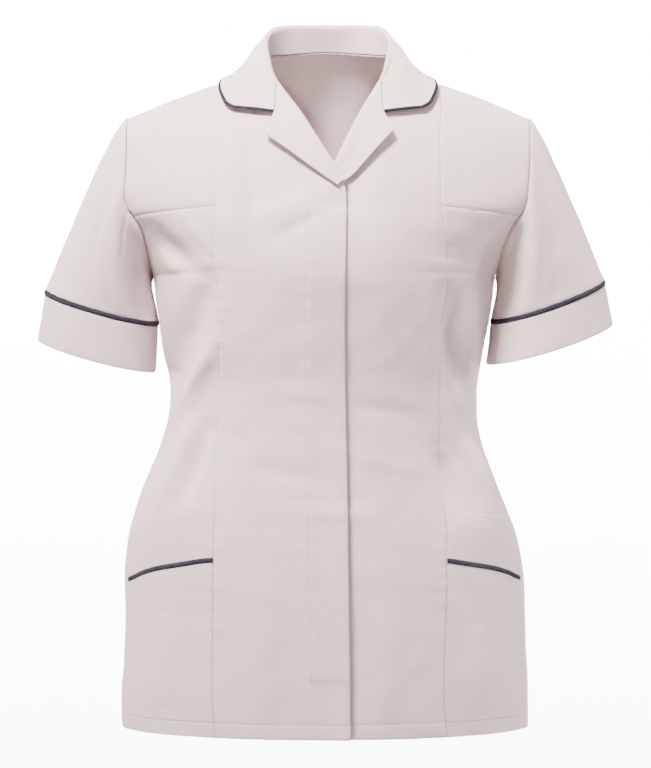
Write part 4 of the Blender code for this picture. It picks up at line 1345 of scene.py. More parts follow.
@dataclass
class Body:
    """The back and the two fronts, each cut along its real seams."""

    form: BodyForm
    room: Workroom
    sewing: Sewing
    step: float = 0.0031
    back_step: float = 0.0036
    half_back: float = 0.29
    front_width: float = 0.13
    side_width: float = 0.11
    seam_edge: float = 0.0006
    hem_line: float = 0.0150
    placket_line: float = 0.0385
    placket_top_z: float = -0.150
    placket_end_z: float = -0.628
    placket_fade: float = 0.002
    placket_relief: float = 0.5
    hem_relief: float = 0.6
    hem_turn: float = 0.0004
    lap_gape: float = 0.0042
    gape_start_z: float = -0.150
    gape_drop: float = 0.45
    gape_width: float = 0.016
    flap_rise: float = 0.0011
    flap_fade: float = 0.004
    tack_length: float = 0.012
    tack_span: tuple[float, float] = (0.143, 0.154)
    tack_points: int = 6
    pocket_sink: float = 0.0012
    sink_start: float = 0.003
    sink_fade: float = 0.006

    def levels(self, top: float, bottom: float, step: float) -> Array:
        """Return levels between two, close together at both ends."""
        return places(top, bottom, step, self.seam_edge)

    def spread(self, start: Array, end: Array, share: Array, level: Array) -> Array:
        """Space angles between two lines, across at the shoulder and around lower down.

        Args:
            start: the first line's angle at each level.
            end: the last line's.
            share: the places between them, from 0 to 1.
            level: the levels.

        Returns:
            The angles, a row for each level.
        """
        start, end, level = np.asarray(start)[:, None], np.asarray(end)[:, None], level[:, None]
        across = np.arcsin(np.clip(mix(np.sin(start), np.sin(end), share), -1, 1))
        return mix(across, mix(start, end, share), smooth_step(level / BUST_LEVEL))

    def sew(
        self,
        face: Face,
        angle: Array,
        level: Array,
        points: Array,
        start: bool,
        end: bool,
        top: bool,
        hem: bool,
    ) -> tuple[Array, Array]:
        """Draw a panel in along its seams.

        Args:
            face: the face that the angles start from.
            angle: the angles of the points.
            level: the levels of the rows.
            points: the panel's points.
            start: whether the first column is a seam.
            end: whether the last column is a seam.
            top: whether the first row is a seam.
            hem: whether the last row is the hem.

        Returns:
            The points, and their distances to the lines of sewing.
        """
        across = lengths(points)
        left, right = across, across[:, -1:] - across
        z = points[..., 2]
        height = np.zeros(z.shape)
        if start:
            height += self.sewing.relief(left, z)
        if end:
            height += self.sewing.relief(right, z)
        if top:
            height += self.sewing.relief((level - level[0])[:, None], points[..., 0])
        # distances to the seams, along which the cloth takes painted shade
        sewn = unsewn(points)
        drop = (level - level[0])[:, None] + 0 * z
        for chosen, away in ((start, left), (end, right), (top, drop)):
            if chosen:
                sewn[..., 2] = np.minimum(sewn[..., 2], away)
        if hem:
            above = HEM_LEVEL - level[:, None] + 0 * z
            sewn[..., 1] = above - self.hem_line
            along = points[..., 0] + points[..., 1]
            height += self.hem_relief * self.sewing.relief(np.abs(sewn[..., 1]), along)
            height -= self.sewing.edge(above, self.hem_turn)
        normal = self.form.outward(face, angle, level[:, None])
        return points + normal * height[..., None], sewn

    def back(self) -> bpy.types.Object:
        """Make the back, which reaches round to both side seams.

        Returns:
            The piece.
        """
        levels = self.levels(0.0, HEM_LEVEL, self.back_step)
        side = RIGHT_ANGLE + self.form.forward.at(levels)[0]
        step = self.back_step / self.half_back
        share = places(-1.0, 1.0, step, self.seam_edge / self.half_back)
        share = np.concatenate([[0.0], share[share > step / 2]])
        half = self.spread(np.zeros_like(side), side, share, levels)
        angles = np.concatenate([half[:, ::-1], -half[:, 1:]], axis=1)
        points = self.form.skin(Face.BACK, angles, levels[:, None], 0.0)
        points, sewn = self.sew(Face.BACK, angles, levels, points, True, True, True, True)
        piece = self.room.sheet("back", points, sewn=sewn)
        self.hem_stitches("back", points, levels)
        return piece

    def hem_stitches(self, name: str, points: Array, levels: Array) -> bpy.types.Object:
        """Lay the hem's stitches on a panel whose wall grows out of its points.

        Args:
            name: the panel's name.
            points: the panel's points.
            levels: its rows' levels.

        Returns:
            The stitches.
        """
        row = int(np.argmin(np.abs(HEM_LEVEL - self.hem_line - levels)))
        line = points[row]
        down = unit(points[min(row + 1, len(points) - 1)] - points[row - 1])
        out = unit(np.cross(down, np.gradient(line, axis=0)))
        return self.room.stitching(f"hem_stitching_{name}", line + out * (WALL + GAP), out)

    def front(self, side: Side) -> bpy.types.Object:
        """Make a front, from its princess seam to its roll line and edge.

        Args:
            side: the half that it is on.

        Returns:
            The piece.
        """
        levels = self.levels(0.0, HEM_LEVEL, self.step)
        seam = self.form.seam_angle(self.form.princess, side, levels)
        edge = self.form.seam_angle(self.form.edge, side, levels)
        share = places(0.0, 1.0, self.step / self.front_width, self.seam_edge / self.front_width)
        angles = self.spread(edge, seam, share, levels)
        base = self.form.form(Face.FRONT, angles, levels[:, None])
        lift = -self.form.lap_depth(side, base[..., 0], base[..., 2])
        points = self.form.skin(Face.FRONT, angles, levels[:, None], lift)
        points, sewn = self.sew(Face.FRONT, angles, levels, points, False, True, True, True)
        if side is Side.RIGHT:
            height, sewn[..., 0] = self.flap(points)
            out = self.form.outward(Face.FRONT, angles, levels[:, None])
            points = points + out * height[..., None]
            points, sewn = points[:, ::-1], sewn[:, ::-1]
        piece = self.room.sheet(f"front_{side.value}", points, sewn=sewn)
        extra = [self.hem_stitches(f"front_{side.value}", points, levels)]
        if side is Side.RIGHT:
            extra.extend(self.placket_stitches(points))
        return piece

    def flap(self, points: Array) -> tuple[Array, Array]:
        """Shape the flap over the concealed fastening, and let the lap gape toward the hem.

        Args:
            points: the right front's points, each row from the edge.

        Returns:
            How far each point moves out, and its distance to the flap's stitching.
        """
        away, z = lengths(points), points[..., 2]
        started = smooth_step((self.placket_top_z - z) / self.placket_fade)
        shown = started * smooth_step((z - self.placket_end_z) / self.placket_fade)
        line = away - self.placket_line
        height = self.placket_relief * self.sewing.relief(np.abs(line), z) * shown
        below = smooth_step((self.gape_start_z - z) / self.gape_drop)
        height = height + self.lap_gape * below * bell(away, self.gape_width)
        height = height - self.sewing.edge(away)
        raised = 1 - smooth_step((line + STEP) / self.flap_fade)
        return height + self.flap_rise * shown * raised, np.where(shown > 0.5, line, NO_LINE)

    def placket_stitches(self, points: Array) -> list[bpy.types.Object]:
        """Lay the stitches of the concealed fastening's flap, and a bar tack at each end.

        Args:
            points: the right front's points, each row to the edge.

        Returns:
            The stitches and the tacks.
        """
        path = []
        for row in points:
            away = lengths(row[::-1])
            place = [np.interp(self.placket_line, away, row[::-1, axis]) for axis in range(3)]
            if self.placket_end_z < place[2] < self.placket_top_z:
                path.append(place)
        path = np.array(path)
        angle, level = self.form.locate(Face.FRONT, path[:, 0], path[:, 2])
        out = self.form.outward(Face.FRONT, angle, level)
        path = path + out * (WALL + GAP)
        made = [self.room.stitching("placket_stitching", path, out)]
        down = lengths(path)
        for word, start in (("top", 0.0), ("bottom", down[-1] - self.tack_length)):
            chosen = (down >= start) & (down <= start + self.tack_length)
            made.append(self.room.bar_tack(f"bar_tack_{word}", path[chosen], out[chosen]))
        return made

    def side_points(self, side: Side, levels: Array) -> tuple[Array, Array]:
        """Return the points and angles of the strip from the princess seam to the side.

        Args:
            side: the half that it is on.
            levels: its rows' levels.

        Returns:
            The points and their angles.
        """
        seam = self.form.seam_angle(self.form.princess, side, levels)
        outer = self.form.side_angle(side, levels)
        share = places(0.0, 1.0, self.step / self.side_width, self.seam_edge / self.side_width)
        angles = self.spread(seam, outer, share, levels)
        return self.form.skin(Face.FRONT, angles, levels[:, None]), angles

    def side_panel(
        self, side: Side, name: str, top: float, bottom: float, hem: bool
    ) -> bpy.types.Object:
        """Make a yoke or a side front.

        Args:
            side: the half that it is on.
            name: the kind of panel.
            top: its first level.
            bottom: its last level.
            hem: whether it ends in the hem.

        Returns:
            The piece.
        """
        levels = self.levels(top, bottom, self.step)
        points, angles = self.side_points(side, levels)
        points, sewn = self.sew(Face.FRONT, angles, levels, points, True, True, True, hem)
        out = self.form.outward(Face.FRONT, angles, levels[:, None])
        if hem:
            mouth_z = Curve(POCKET).at(np.abs(points[..., 0]))[0] - self.sink_start
            sunk = self.pocket_sink * smooth_step((mouth_z - points[..., 2]) / self.sink_fade)
            points = points - out * sunk[..., None]
        else:
            away = (levels[-1] - levels)[:, None] + 0 * points[..., 0]
            points = points + out * self.sewing.relief(away, points[..., 0])[..., None]
            sewn[..., 2] = np.minimum(sewn[..., 2], away)
        if side is Side.RIGHT:
            points, sewn = points[:, ::-1], sewn[:, ::-1]
        piece = self.room.sheet(f"{name}_{side.value}", points, sewn=sewn)
        if hem:
            extra = [self.hem_stitches(f"side_{side.value}", points, levels)]
        return piece

    def bust_tack(self) -> bpy.types.Object:
        """Sew the bar tack on the wearer's left bust seam.

        Returns:
            The tack.
        """
        x = np.linspace(*self.tack_span, self.tack_points)
        level = np.full(x.shape, BUST_LEVEL)
        angle = self.form.angle_at(level, x)
        path = self.form.skin(Face.FRONT, angle, level, WALL)
        out = self.form.outward(Face.FRONT, angle, level)
        return self.room.bar_tack("bar_tack_bust", path, out)

    def build(self) -> list[bpy.types.Object]:
        """Make every panel of the body.

        Returns:
            The pieces.
        """
        made = [self.back(), self.bust_tack()]
        for side in Side:
            made.append(self.side_panel(side, "yoke", 0.0, BUST_LEVEL, False))
            made.append(self.side_panel(side, "side_front", BUST_LEVEL, HEM_LEVEL, True))
            made.append(self.front(side))
        return made


@dataclass
class Pockets:
    """The hip pockets: an open band, the piping below it and the bag down to the hem."""

    body: Body
    lift: float = WALL - 0.0006
    mouth: float = 0.0060
    side_relief: float = 0.7
    top_press: float = 0.0010
    top_shade_reach: float = 0.0006
    top_turn: float = 0.0006
    edge: float = 0.0006
    step: float = 0.0028
    width: float = 0.115
    hem_column: int = 5
    hem_step: float = 0.001
    level_start: float = HEM_LEVEL - 0.2

    def points(self, side: Side, shares: Array, lift: Any) -> tuple[Array, Array, Array]:
        """Return a pocket's points, outward vectors and levels.

        Args:
            side: the half that it is on.
            shares: the places down it: 0 at the open top, 1 at the piping and 2 at the hem.
            lift: how far each row stands off the body's inner face.

        Returns:
            The points, unit vectors out of them, and their levels.
        """
        form = self.body.form
        line = Curve(POCKET)
        share = places(0.0, 1.0, self.step / self.width, self.edge / self.width)[None, :]
        down = shares[:, None]
        level = np.full((len(shares), share.shape[1]), self.level_start)
        for _ in range(form.seam_steps):
            seam = form.seam_angle(form.princess, side, level)
            outer = form.side_angle(side, level)
            angle = mix(seam, outer, share)
            top, piping = line.at(np.abs(form.form(Face.FRONT, angle, level)[..., 0]))
            bag = mix(piping, HEM_Z + self.hem_step, down - 1)
            level = UNDERARM_LEVEL + UNDERARM_Z - np.where(down <= 1, mix(top, piping, down), bag)
        mouth = self.mouth * np.sin(math.pi * share) * np.clip(1 - down, 0, 1)
        points = form.skin(Face.FRONT, angle, level, lift + mouth)
        return points, form.outward(Face.FRONT, angle, level), level

    def part(
        self, side: Side, name: str, shares: Array, top: bool
    ) -> tuple[bpy.types.Object, Array, Array]:
        """Make the band or the bag of a pocket.

        Args:
            side: the half that it is on.
            name: the piece's name.
            shares: the places of its rows down the pocket.
            top: whether it is the band, which starts at the open top.

        Returns:
            The piece, its points and unit vectors out of them.
        """
        points, out, levels = self.points(side, shares, self.lift)
        across, z = lengths(points), points[..., 2]
        beyond = across[:, -1:] - across
        sewing = self.body.sewing
        relief = self.side_relief * (sewing.relief(across, z) + sewing.relief(beyond, z))
        # painted shade along the pocket's sewn sides
        sewn = unsewn(points)
        sewn[..., 2] = np.minimum(across, beyond)
        if top:
            down = lengths(points.transpose(1, 0, 2)).T
            # painted shade in a band along the band's open top edge
            sewn[..., 2] = np.minimum(sewn[..., 2], np.maximum(down - self.top_shade_reach, 0.0))
            sewn[..., 1] = down - self.top_press
            relief = relief - sewing.edge(down, self.top_turn)
        else:
            sewn[..., 1] = HEM_LEVEL - levels - self.body.hem_line
        points = points + out * relief[..., None]
        if side is Side.RIGHT:
            points, out, sewn = points[:, ::-1], out[:, ::-1], sewn[:, ::-1]
        return self.body.room.sheet(name, points, sewn=sewn), points, out

    def build(self, side: Side) -> bpy.types.Object:
        """Make one hip pocket.

        Args:
            side: the half that it is on.

        Returns:
            The bag.
        """
        band_height = abs(POCKET[1].piping_z - POCKET[1].top_z)
        bag_height = abs(HEM_Z - POCKET[1].piping_z)
        end = 1 + PIPING_WIDTH / bag_height
        word = side.value
        room = self.body.room
        above = 1.0 - GAP / band_height
        band_shares = places(0.0, above, self.step / band_height, self.edge / band_height)
        band = self.part(side, f"pocket_band_{word}", band_shares, True)[0]
        below = end + GAP / bag_height
        bag_shares = places(below, 2.0, self.step / bag_height, self.edge / bag_height)
        bag, bag_points, bag_out = self.part(side, f"pocket_{word}", bag_shares, False)
        rows, outs, _ = self.points(side, np.array([1.0, end]), self.lift)
        if side is Side.RIGHT:
            rows, outs = rows[:, ::-1], outs[:, ::-1]
        piping = room.cord_strip(f"pocket_piping_{word}", rows[0], rows[1], outs[0], offset=1.0)
        heights = bag_points[:, self.hem_column, 2]
        hem_row = int(np.argmin(np.abs(heights - (HEM_Z + self.body.hem_line))))
        line, out = bag_points[hem_row], bag_out[hem_row]
        sewn = room.stitching(f"hem_stitching_pocket_{word}", line + out * (WALL + GAP), out)
        return bag


@dataclass
class Lapel:
    """A lapel, which turns over its front's roll line and lies on the front."""

    form: BodyForm
    room: Workroom
    side: Side
    row_step: float = 0.0022
    roll_lift: float = 0.0040
    edge_lift: float = 0.0095
    edge_fall: float = 0.55
    first_share: float = 0.08
    columns: int = 14
    least_rows: int = 3

    def row(self, row: LapelRow, shares: Iterable[float], shift: float = 0.0) -> Array:
        """Return a row's points, from its seam at the roll line, round the turn, to its edge.

        Args:
            row: the row of the table.
            shares: the places along the row after the turn.
            shift: how far the row moves out of the lapel toward the collar, in the front view.

        Returns:
            The points.
        """
        start = self.form.roll_point(self.side, row.roll_z)
        middle = np.array([row.mid_x, row.mid_z])
        edge = np.array([row.edge_x, row.edge_z])
        ahead = self.form.roll_point(self.side, row.roll_z + STEP)
        behind = self.form.roll_point(self.side, row.roll_z - STEP)
        along = unit(ahead - behind)
        inward = self.side.sign * np.array([along[1], -along[0]])
        run = unit(middle - start)
        aside = self.side.sign * np.array([-run[1], run[0]])
        place = [start + inward * turn.inward for turn in TURN]
        lift = [turn.lift for turn in TURN]
        down = (row.roll_z - GORGE_Z) / (LAPELS[self.side][-1].roll_z - GORGE_Z)
        edge_lift = self.edge_lift * (1 - self.edge_fall * down)
        for share in shares:
            near = mix(start, middle, 2 * share)
            place.append(near if share < 0.5 else mix(middle, edge, 2 * share - 1))
            lift.append(mix(self.roll_lift, edge_lift, share**2))
        flat = np.array(place) + aside * shift
        height = np.array(lift) - self.form.lap_depth(self.side, flat[:, 0], flat[:, 1])
        return self.form.on_body(Face.FRONT, flat[:, 0], flat[:, 1], height)

    def grid(self) -> Array:
        """Work out the lapel's rows, from the gorge down.

        Returns:
            The points.
        """
        table = LAPELS[self.side]
        shares = np.linspace(self.first_share, 1.0, self.columns)
        rows = []
        for upper, lower in zip(table, table[1:]):
            drop = abs(lower.roll_z - upper.roll_z)
            count = max(int(drop / self.row_step), self.least_rows)
            for step in range(count):
                row = LapelRow(*mix(np.array(upper), np.array(lower), step / count))
                rows.append(self.row(row, shares, 0.0 if rows else -GORGE_GAP / 2))
        rows.append(self.row(table[-1], shares))
        return np.array(rows)

    def build(self) -> bpy.types.Object:
        """Make the lapel.

        Returns:
            The piece.
        """
        grid = self.grid()
        if self.side is Side.LEFT:
            grid = grid[:, ::-1]
        outer = lengths(grid)
        sewn = unsewn(grid)
        # painted shade: a thin dark line along the lapel's outer edge and along its gorge row
        sewn[..., 2] = outer if self.side is Side.LEFT else outer[:, -1:] - outer
        sewn[0, :, 2] = 0.0
        piece = self.room.sheet(f"lapel_{self.side.value}", grid, offset=-1.0, sewn=sewn)
        return piece


@dataclass
class Collar:
    """The collar, stand and fall in one, and the piping along its fall."""

    form: BodyForm
    room: Workroom
    lapels: dict[Side, Lapel]
    rows: int = 170
    refine: int = 4
    stand_columns: int = 4
    fold_radius: float = 0.0028
    fold_share: float = 0.3
    bow: float = 0.0025
    stand_gap: float = 0.0010
    clearance: float = 0.0028
    edge_rise: float = 0.0028
    rise_start: float = 0.5
    rise_width: float = 0.3
    corner_round: float = 0.0009
    corner_start: float = 0.92
    corner_way: tuple[float, float] = (0.67, -0.74)
    corner_shares: tuple[float, ...] = (1.0, 0.6, 0.25)
    smoothing: int = 6
    bow_shares: Triple = (0.25, 0.5, 0.75)
    edge_shares: tuple[float, float] = (0.36, 0.70)
    gorge_shares: tuple[float, ...] = (0.125, 0.25, 0.375, 0.5)

    def __post_init__(self) -> None:
        """Find how far down the fronts' gorges lie."""
        self.gorge = {
            side: float(self.form.locate(Face.FRONT, *self.form.roll_point(side, GORGE_Z))[1])
            for side in Side
        }

    def neck_seam(self, t: Any) -> Array:
        """Return points of the neck seam.

        Args:
            t: the places, from -1 at the right gorge to 1 at the left one.

        Returns:
            The points.
        """
        t = np.atleast_1d(np.asarray(t, float))
        points = np.empty((len(t), 3))
        behind = np.abs(t) <= SHOULDER_T
        x = self.form.section.at(0.0)[2] + NECK_HALF * np.sin(RIGHT_ANGLE * t[behind] / SHOULDER_T)
        points[behind] = self.form.skin(Face.BACK, self.form.angle_at(0.0, x), 0.0, WALL)
        for side in Side:
            chosen = ~behind & (np.sign(t) == side.sign)
            level = self.gorge[side] * (np.abs(t[chosen]) - SHOULDER_T) / (1 - SHOULDER_T)
            angle = self.form.seam_angle(self.form.edge, side, level)
            points[chosen] = self.form.skin(Face.FRONT, angle, level, WALL)
        return points

    def station(self, row: CollarRow, sign: float) -> Array:
        """Return one cross section, from the neck seam to the fall's edge.

        Args:
            row: the row of the table.
            sign: which side of the middle it lies on.

        Returns:
            Its points.
        """
        side = Side.LEFT if sign > 0 else Side.RIGHT
        x = COLLAR_SHIFT + sign * row.edge_x
        risen = float(smooth_step((row.t - self.rise_start) / self.rise_width))
        lift = row.lift + self.edge_rise * risen
        edge = self.form.on_body(row.face, x, row.edge_z, lift)
        if row.t == 1.0:
            gorge = LAPELS[side][0]
            points = list(self.lapels[side].row(gorge, self.gorge_shares, GORGE_GAP / 2))
            for share in self.edge_shares:
                place = mix(gorge.mid_x, x, share), mix(gorge.mid_z, row.edge_z, share)
                points.append(self.form.on_body(Face.FRONT, *place, lift))
            return np.array(points + [edge])
        seam = self.neck_seam(sign * row.t)[0]
        fold = np.array([COLLAR_SHIFT + sign * row.fold_x, row.fold_y, row.fold_z])
        middle = np.array([COLLAR_SHIFT + sign * row.mid_x, row.mid_y, row.mid_z])
        up = unit(fold - seam)
        out = middle - seam
        out = unit(out - up * (out @ up))
        radius = min(self.fold_radius, self.fold_share * float(np.linalg.norm(fold - seam)))
        inner = fold - radius * (out + up)
        outer = fold + radius * (out - up)
        points = [seam, mix(seam, inner, 0.5), inner, fold, outer]
        for share in self.bow_shares:
            points.append(mix(outer, middle, share) + self.bow * math.sin(math.pi * share) * out)
        points.append(middle)
        base = self.form.on_body(row.face, x, row.edge_z, 0.0)
        normal = unit(edge - base)
        lie = middle - edge
        arrive = mix(edge, edge + lie - normal * (lie @ normal), 0.5)
        for share in self.edge_shares:
            points.append(mix(mix(middle, arrive, share), mix(arrive, edge, share), share))
        return np.array(points + [edge])

    def raised(self, points: Array, least: float) -> Array:
        """Move points out, where they lie too near the body.

        Args:
            points: the points.
            least: how far off the body they have to lie.

        Returns:
            The points.
        """
        made = points.copy()
        for face in Face:
            chosen = (points[:, 1] > 0) == (face is Face.BACK)
            if not chosen.any():
                continue
            near = points[chosen]
            angle, level = self.form.locate(face, near[:, 0], near[:, 2])
            normal = self.form.outward(face, angle, level)
            lack = least - np.sum((near - self.form.skin(face, angle, level)) * normal, axis=1)
            made[chosen] = near + normal * np.maximum(lack, 0.0)[:, None]
        return made

    def grid(self) -> Array:
        """Return the collar's rows, from the wearer's right gorge round to the left one.

        Returns:
            The points, each row from the neck seam to the fall's edge.
        """
        stations = []
        for row in COLLAR:
            for sign in (-1.0, 1.0) if row.t else (1.0,):
                stations.append((sign * row.t, *self.station(row, sign).ravel()))
        t = np.linspace(-1, 1, self.rows + 1)
        rows = np.moveaxis(Curve(stations).at(t), 0, -1).reshape(len(t), -1, 3)
        turned = np.clip((np.abs(t) - self.corner_start) / (1 - self.corner_start), 0, 1)
        push = self.corner_round * np.sin(math.pi * turned)
        for back, share in enumerate(self.corner_shares, 1):
            rows[:, -back, 0] += np.sign(t) * push * share * self.corner_way[0]
            rows[:, -back, 2] += push * share * self.corner_way[1]
        inside = t[1:-1]
        seam = self.neck_seam(inside)
        along = self.neck_seam(inside + STEP) - self.neck_seam(inside - STEP)
        out = np.empty_like(seam)
        for face in Face:
            chosen = (np.abs(inside) < SHOULDER_T) == (face is Face.BACK)
            place = self.form.locate(face, seam[chosen, 0], seam[chosen, 2])
            out[chosen] = self.form.outward(face, *place)
        rows[1:-1, 0] = seam + unit(np.cross(along, out)) * self.stand_gap
        rows[1:-1, 1] = mix(rows[1:-1, 0], rows[1:-1, 2], 0.5)
        count = rows.shape[1]
        fine = np.linspace(0, count - 1, (count - 1) * self.refine + 1)
        columns = rows.transpose(1, 0, 2).reshape(count, -1)
        made = Curve(np.column_stack([np.arange(count), columns])).at(fine)
        made = made.reshape(len(t), 3, len(fine)).transpose(0, 2, 1)
        laid = made[1:-1, self.stand_columns * self.refine :]
        laid[:] = self.raised(laid.reshape(-1, 3), self.clearance).reshape(laid.shape)
        return made

    def build(self) -> bpy.types.Object:
        """Make the collar and its piping.

        Returns:
            The collar.
        """
        grid = self.grid()
        notch = (len(TURN) + len(self.gorge_shares) - 1) * self.refine
        piping = self.piping(grid, notch)
        sheet = grid.transpose(1, 0, 2)
        sewn = unsewn(sheet)
        # painted shade along the seam where the collar meets the neck
        sewn[..., 2] = lengths(grid).T
        piece = self.room.sheet("collar", sheet, offset=-1.0, sewn=sewn)
        return piece

    def piping(self, grid: Array, notch: int) -> bpy.types.Object:
        """Make the piping from notch to notch, along the fall's edge.

        Args:
            grid: the collar's points.
            notch: the column where the lapel ends.

        Returns:
            The piping.
        """
        last = grid.shape[1] - 1
        edge = [grid[0, i] for i in range(notch, last)]
        inner = [grid[2, i] for i in range(notch, last)]
        edge += [row[-1] for row in grid]
        inner += [row[-1 - self.refine // 2] for row in grid]
        edge += [grid[-1, i] for i in range(last - 1, notch - 1, -1)]
        inner += [grid[-3, i] for i in range(last - 1, notch - 1, -1)]
        edge, inner = np.array(edge), np.array(inner)
        away = unit(edge - inner)
        along = np.gradient(edge, axis=0)
        out = unit(np.cross(away, along))
        away = unit(np.cross(along, out))
        for _ in range(self.smoothing):
            away[1:-1] = unit(away[:-2] + 2 * away[1:-1] + away[2:])
        start = edge + away * GAP
        end = edge + away * (PIPING_WIDTH + GAP)
        return self.room.cord_strip("collar_piping", start, end, out)


@dataclass
class Sleeve:
    """A set-in short sleeve with a piped cuff band."""

    form: BodyForm
    room: Workroom
    sewing: Sewing
    side: Side
    head_reach: float
    cuff_half_depth: float = 0.046
    under_reach: float = 0.030
    end_reach: float = 0.100
    under_end_reach: float = 0.040
    leave_out: float = 0.8
    leave_down: float = 0.6
    leave_apart: float = 0.25
    leave_turn: float = 0.2
    cuff_share: float = 0.35
    head_gap: float = 0.0004
    under_gap: float = 0.0014
    fold_stretch: float = 0.35
    half_columns: int = 66
    under_rows: int = 5
    length: float = 0.165
    row_step: float = 0.0030
    seam_edge: float = 0.0006
    end_relief: float = 0.8
    cuff_step: float = 0.0028
    cuff_edge: float = 0.0005
    cuff_line: float = 0.0018
    cuff_relief: float = 0.5
    cuff_waves: float = 0.8

    @property
    def turn(self) -> int:
        """The order of a ring's points that lets its faces look outward."""
        return 1 if self.side is Side.LEFT else -1

    def armhole(self) -> tuple[Array, Array, Array]:
        """Find the armhole.

        Returns:
            Its points, vectors out of the body there, and the angles round it.
        """
        under = np.linspace(BUST_LEVEL, UNDERARM_LEVEL, self.under_rows)
        base = np.concatenate([YOKE_LEVELS, under[1:]])
        curve = Curve(np.column_stack([np.arange(len(base)), base]))
        index = np.linspace(0, len(base) - 1, self.half_columns + 1)
        levels = curve.at(index)[0]
        quarter = np.full_like(levels, self.side.sign * RIGHT_ANGLE)
        loop, out = [], []
        for face, order in ((Face.FRONT, slice(None, -1)), (Face.BACK, slice(None, 0, -1))):
            loop.append(self.form.skin(face, quarter, levels)[order])
            out.append(self.form.outward(face, quarter, levels)[order])
        around = math.pi * np.arange(2 * self.half_columns) / self.half_columns
        return np.concatenate(loop), np.concatenate(out), around

    def rings(self) -> tuple[Callable[[float], Array], Callable[[float], Array], float, Array]:
        """Work out the sleeve's and the cuff's rings.

        Returns:
            The sleeve's rings, the cuff's rings, the cuff's length and the places round a ring.
        """
        start, out, around = self.armhole()
        ahead, top = np.sin(around)[:, None], np.cos(around)[:, None]
        under = (1 - top) / 2

        def points(ring: Ring) -> Array:
            """Return the points of a ring.

            Args:
                ring: the ring's place.

            Returns:
                The points.
            """
            outer = np.array([ring.outer_x, 0.0, ring.outer_z])
            centre = (outer + np.array([ring.inner_x, 0.0, ring.inner_z])) / 2
            forward = np.array([0.0, -self.cuff_half_depth, -ring.front_drop])
            return centre + top * (outer - centre) + ahead * forward

        piping, hem = (points(ring) for ring in CUFFS[self.side])
        fall = unit(hem - piping)
        arrive = unit(self.cuff_share * fall + unit(piping - start))
        across = self.side.sign * (self.leave_out - self.leave_turn * under)
        down = -self.leave_down - self.leave_turn * under
        leave = unit(np.hstack([across, -self.leave_apart * ahead, down]))
        reach = mix(self.head_reach, self.under_reach, under)
        end_reach = mix(self.end_reach, self.under_end_reach, under)
        begin = start + out * WALL + leave * mix(self.head_gap, self.under_gap, under)

        def sleeve(t: float) -> Array:
            """Return a ring of the sleeve.

            Args:
                t: the share, from the armhole to the piping.

            Returns:
                Its points.
            """
            return (
                (1 + 2 * t) * (1 - t) ** 2 * begin
                + t * (1 - t) ** 2 * leave * reach
                + t**2 * (3 - 2 * t) * piping
                - t**2 * (1 - t) * arrive * end_reach
            )

        def band(length: float) -> Array:
            """Return the cuff's ring at a length below the piping."""
            return piping + fall * length

        cuff_length = float(np.linalg.norm(hem - piping, axis=1).mean())
        return sleeve, band, cuff_length, around / (2 * math.pi)

    def fold_height(self, around: Array, down: Array) -> Array:
        """Return how far the sleeve's folds move it out or in.

        Args:
            around: the places around, from 0 to 1.
            down: the places down, from 0 to 1.

        Returns:
            A height for each point.
        """
        height = np.zeros(np.broadcast(around, down).shape)
        for fold in SLEEVE_FOLDS:
            run = np.array([fold.around1 - fold.around0, fold.down1 - fold.down0])
            share = np.clip((down - fold.down0) / run[1], 0, 1)
            beyond = self.fold_stretch * (down - fold.down0 - share * run[1])
            away = np.hypot(around - fold.around0 - share * run[0], beyond)
            height = height + fold.height * bell(away, fold.width)
        return height

    def round_lengths(self, grid: Array) -> Array:
        """Return how far round its ring each point lies."""
        steps = np.linalg.norm(np.diff(grid, axis=1, prepend=grid[:, :1]), axis=2)
        return np.cumsum(steps, axis=1)

    def swell(self, grid: Array, height: Array) -> Array:
        """Return a tube's points moved away from its middle by a height."""
        return grid + unit(grid - grid.mean(axis=1, keepdims=True)) * height[..., None]

    def tube(self, curve: Callable[[float], Array], around: Array) -> bpy.types.Object:
        """Make the sleeve itself.

        Args:
            curve: the function of its rings.
            around: the places around.

        Returns:
            The piece.
        """
        shares = places(0.0, 1.0, self.row_step / self.length, self.seam_edge / self.length)
        grid = np.array([curve(share) for share in shares])
        fade = np.sin(math.pi * np.clip(shares, 0, 1))[:, None] ** 0.5
        down, turned = lengths(grid.transpose(1, 0, 2)).T, self.round_lengths(grid)
        height = self.fold_height(around[None, :], shares[:, None]) * fade
        height = height + self.sewing.relief(down, turned)
        height = height + self.end_relief * self.sewing.relief(down[-1:] - down, turned)
        height = height + self.form.waves(grid) * fade
        grid = self.swell(grid, height)
        sewn = unsewn(grid)
        # painted shade along the armhole seam and the cuff seam
        sewn[..., 2] = np.minimum(down, down[-1:] - down)
        word, turn = self.side.value, self.turn
        piece = self.room.sheet(
            f"sleeve_{word}", grid[:, ::turn], offset=-1.0, closed=True, sewn=sewn[:, ::turn]
        )
        return piece

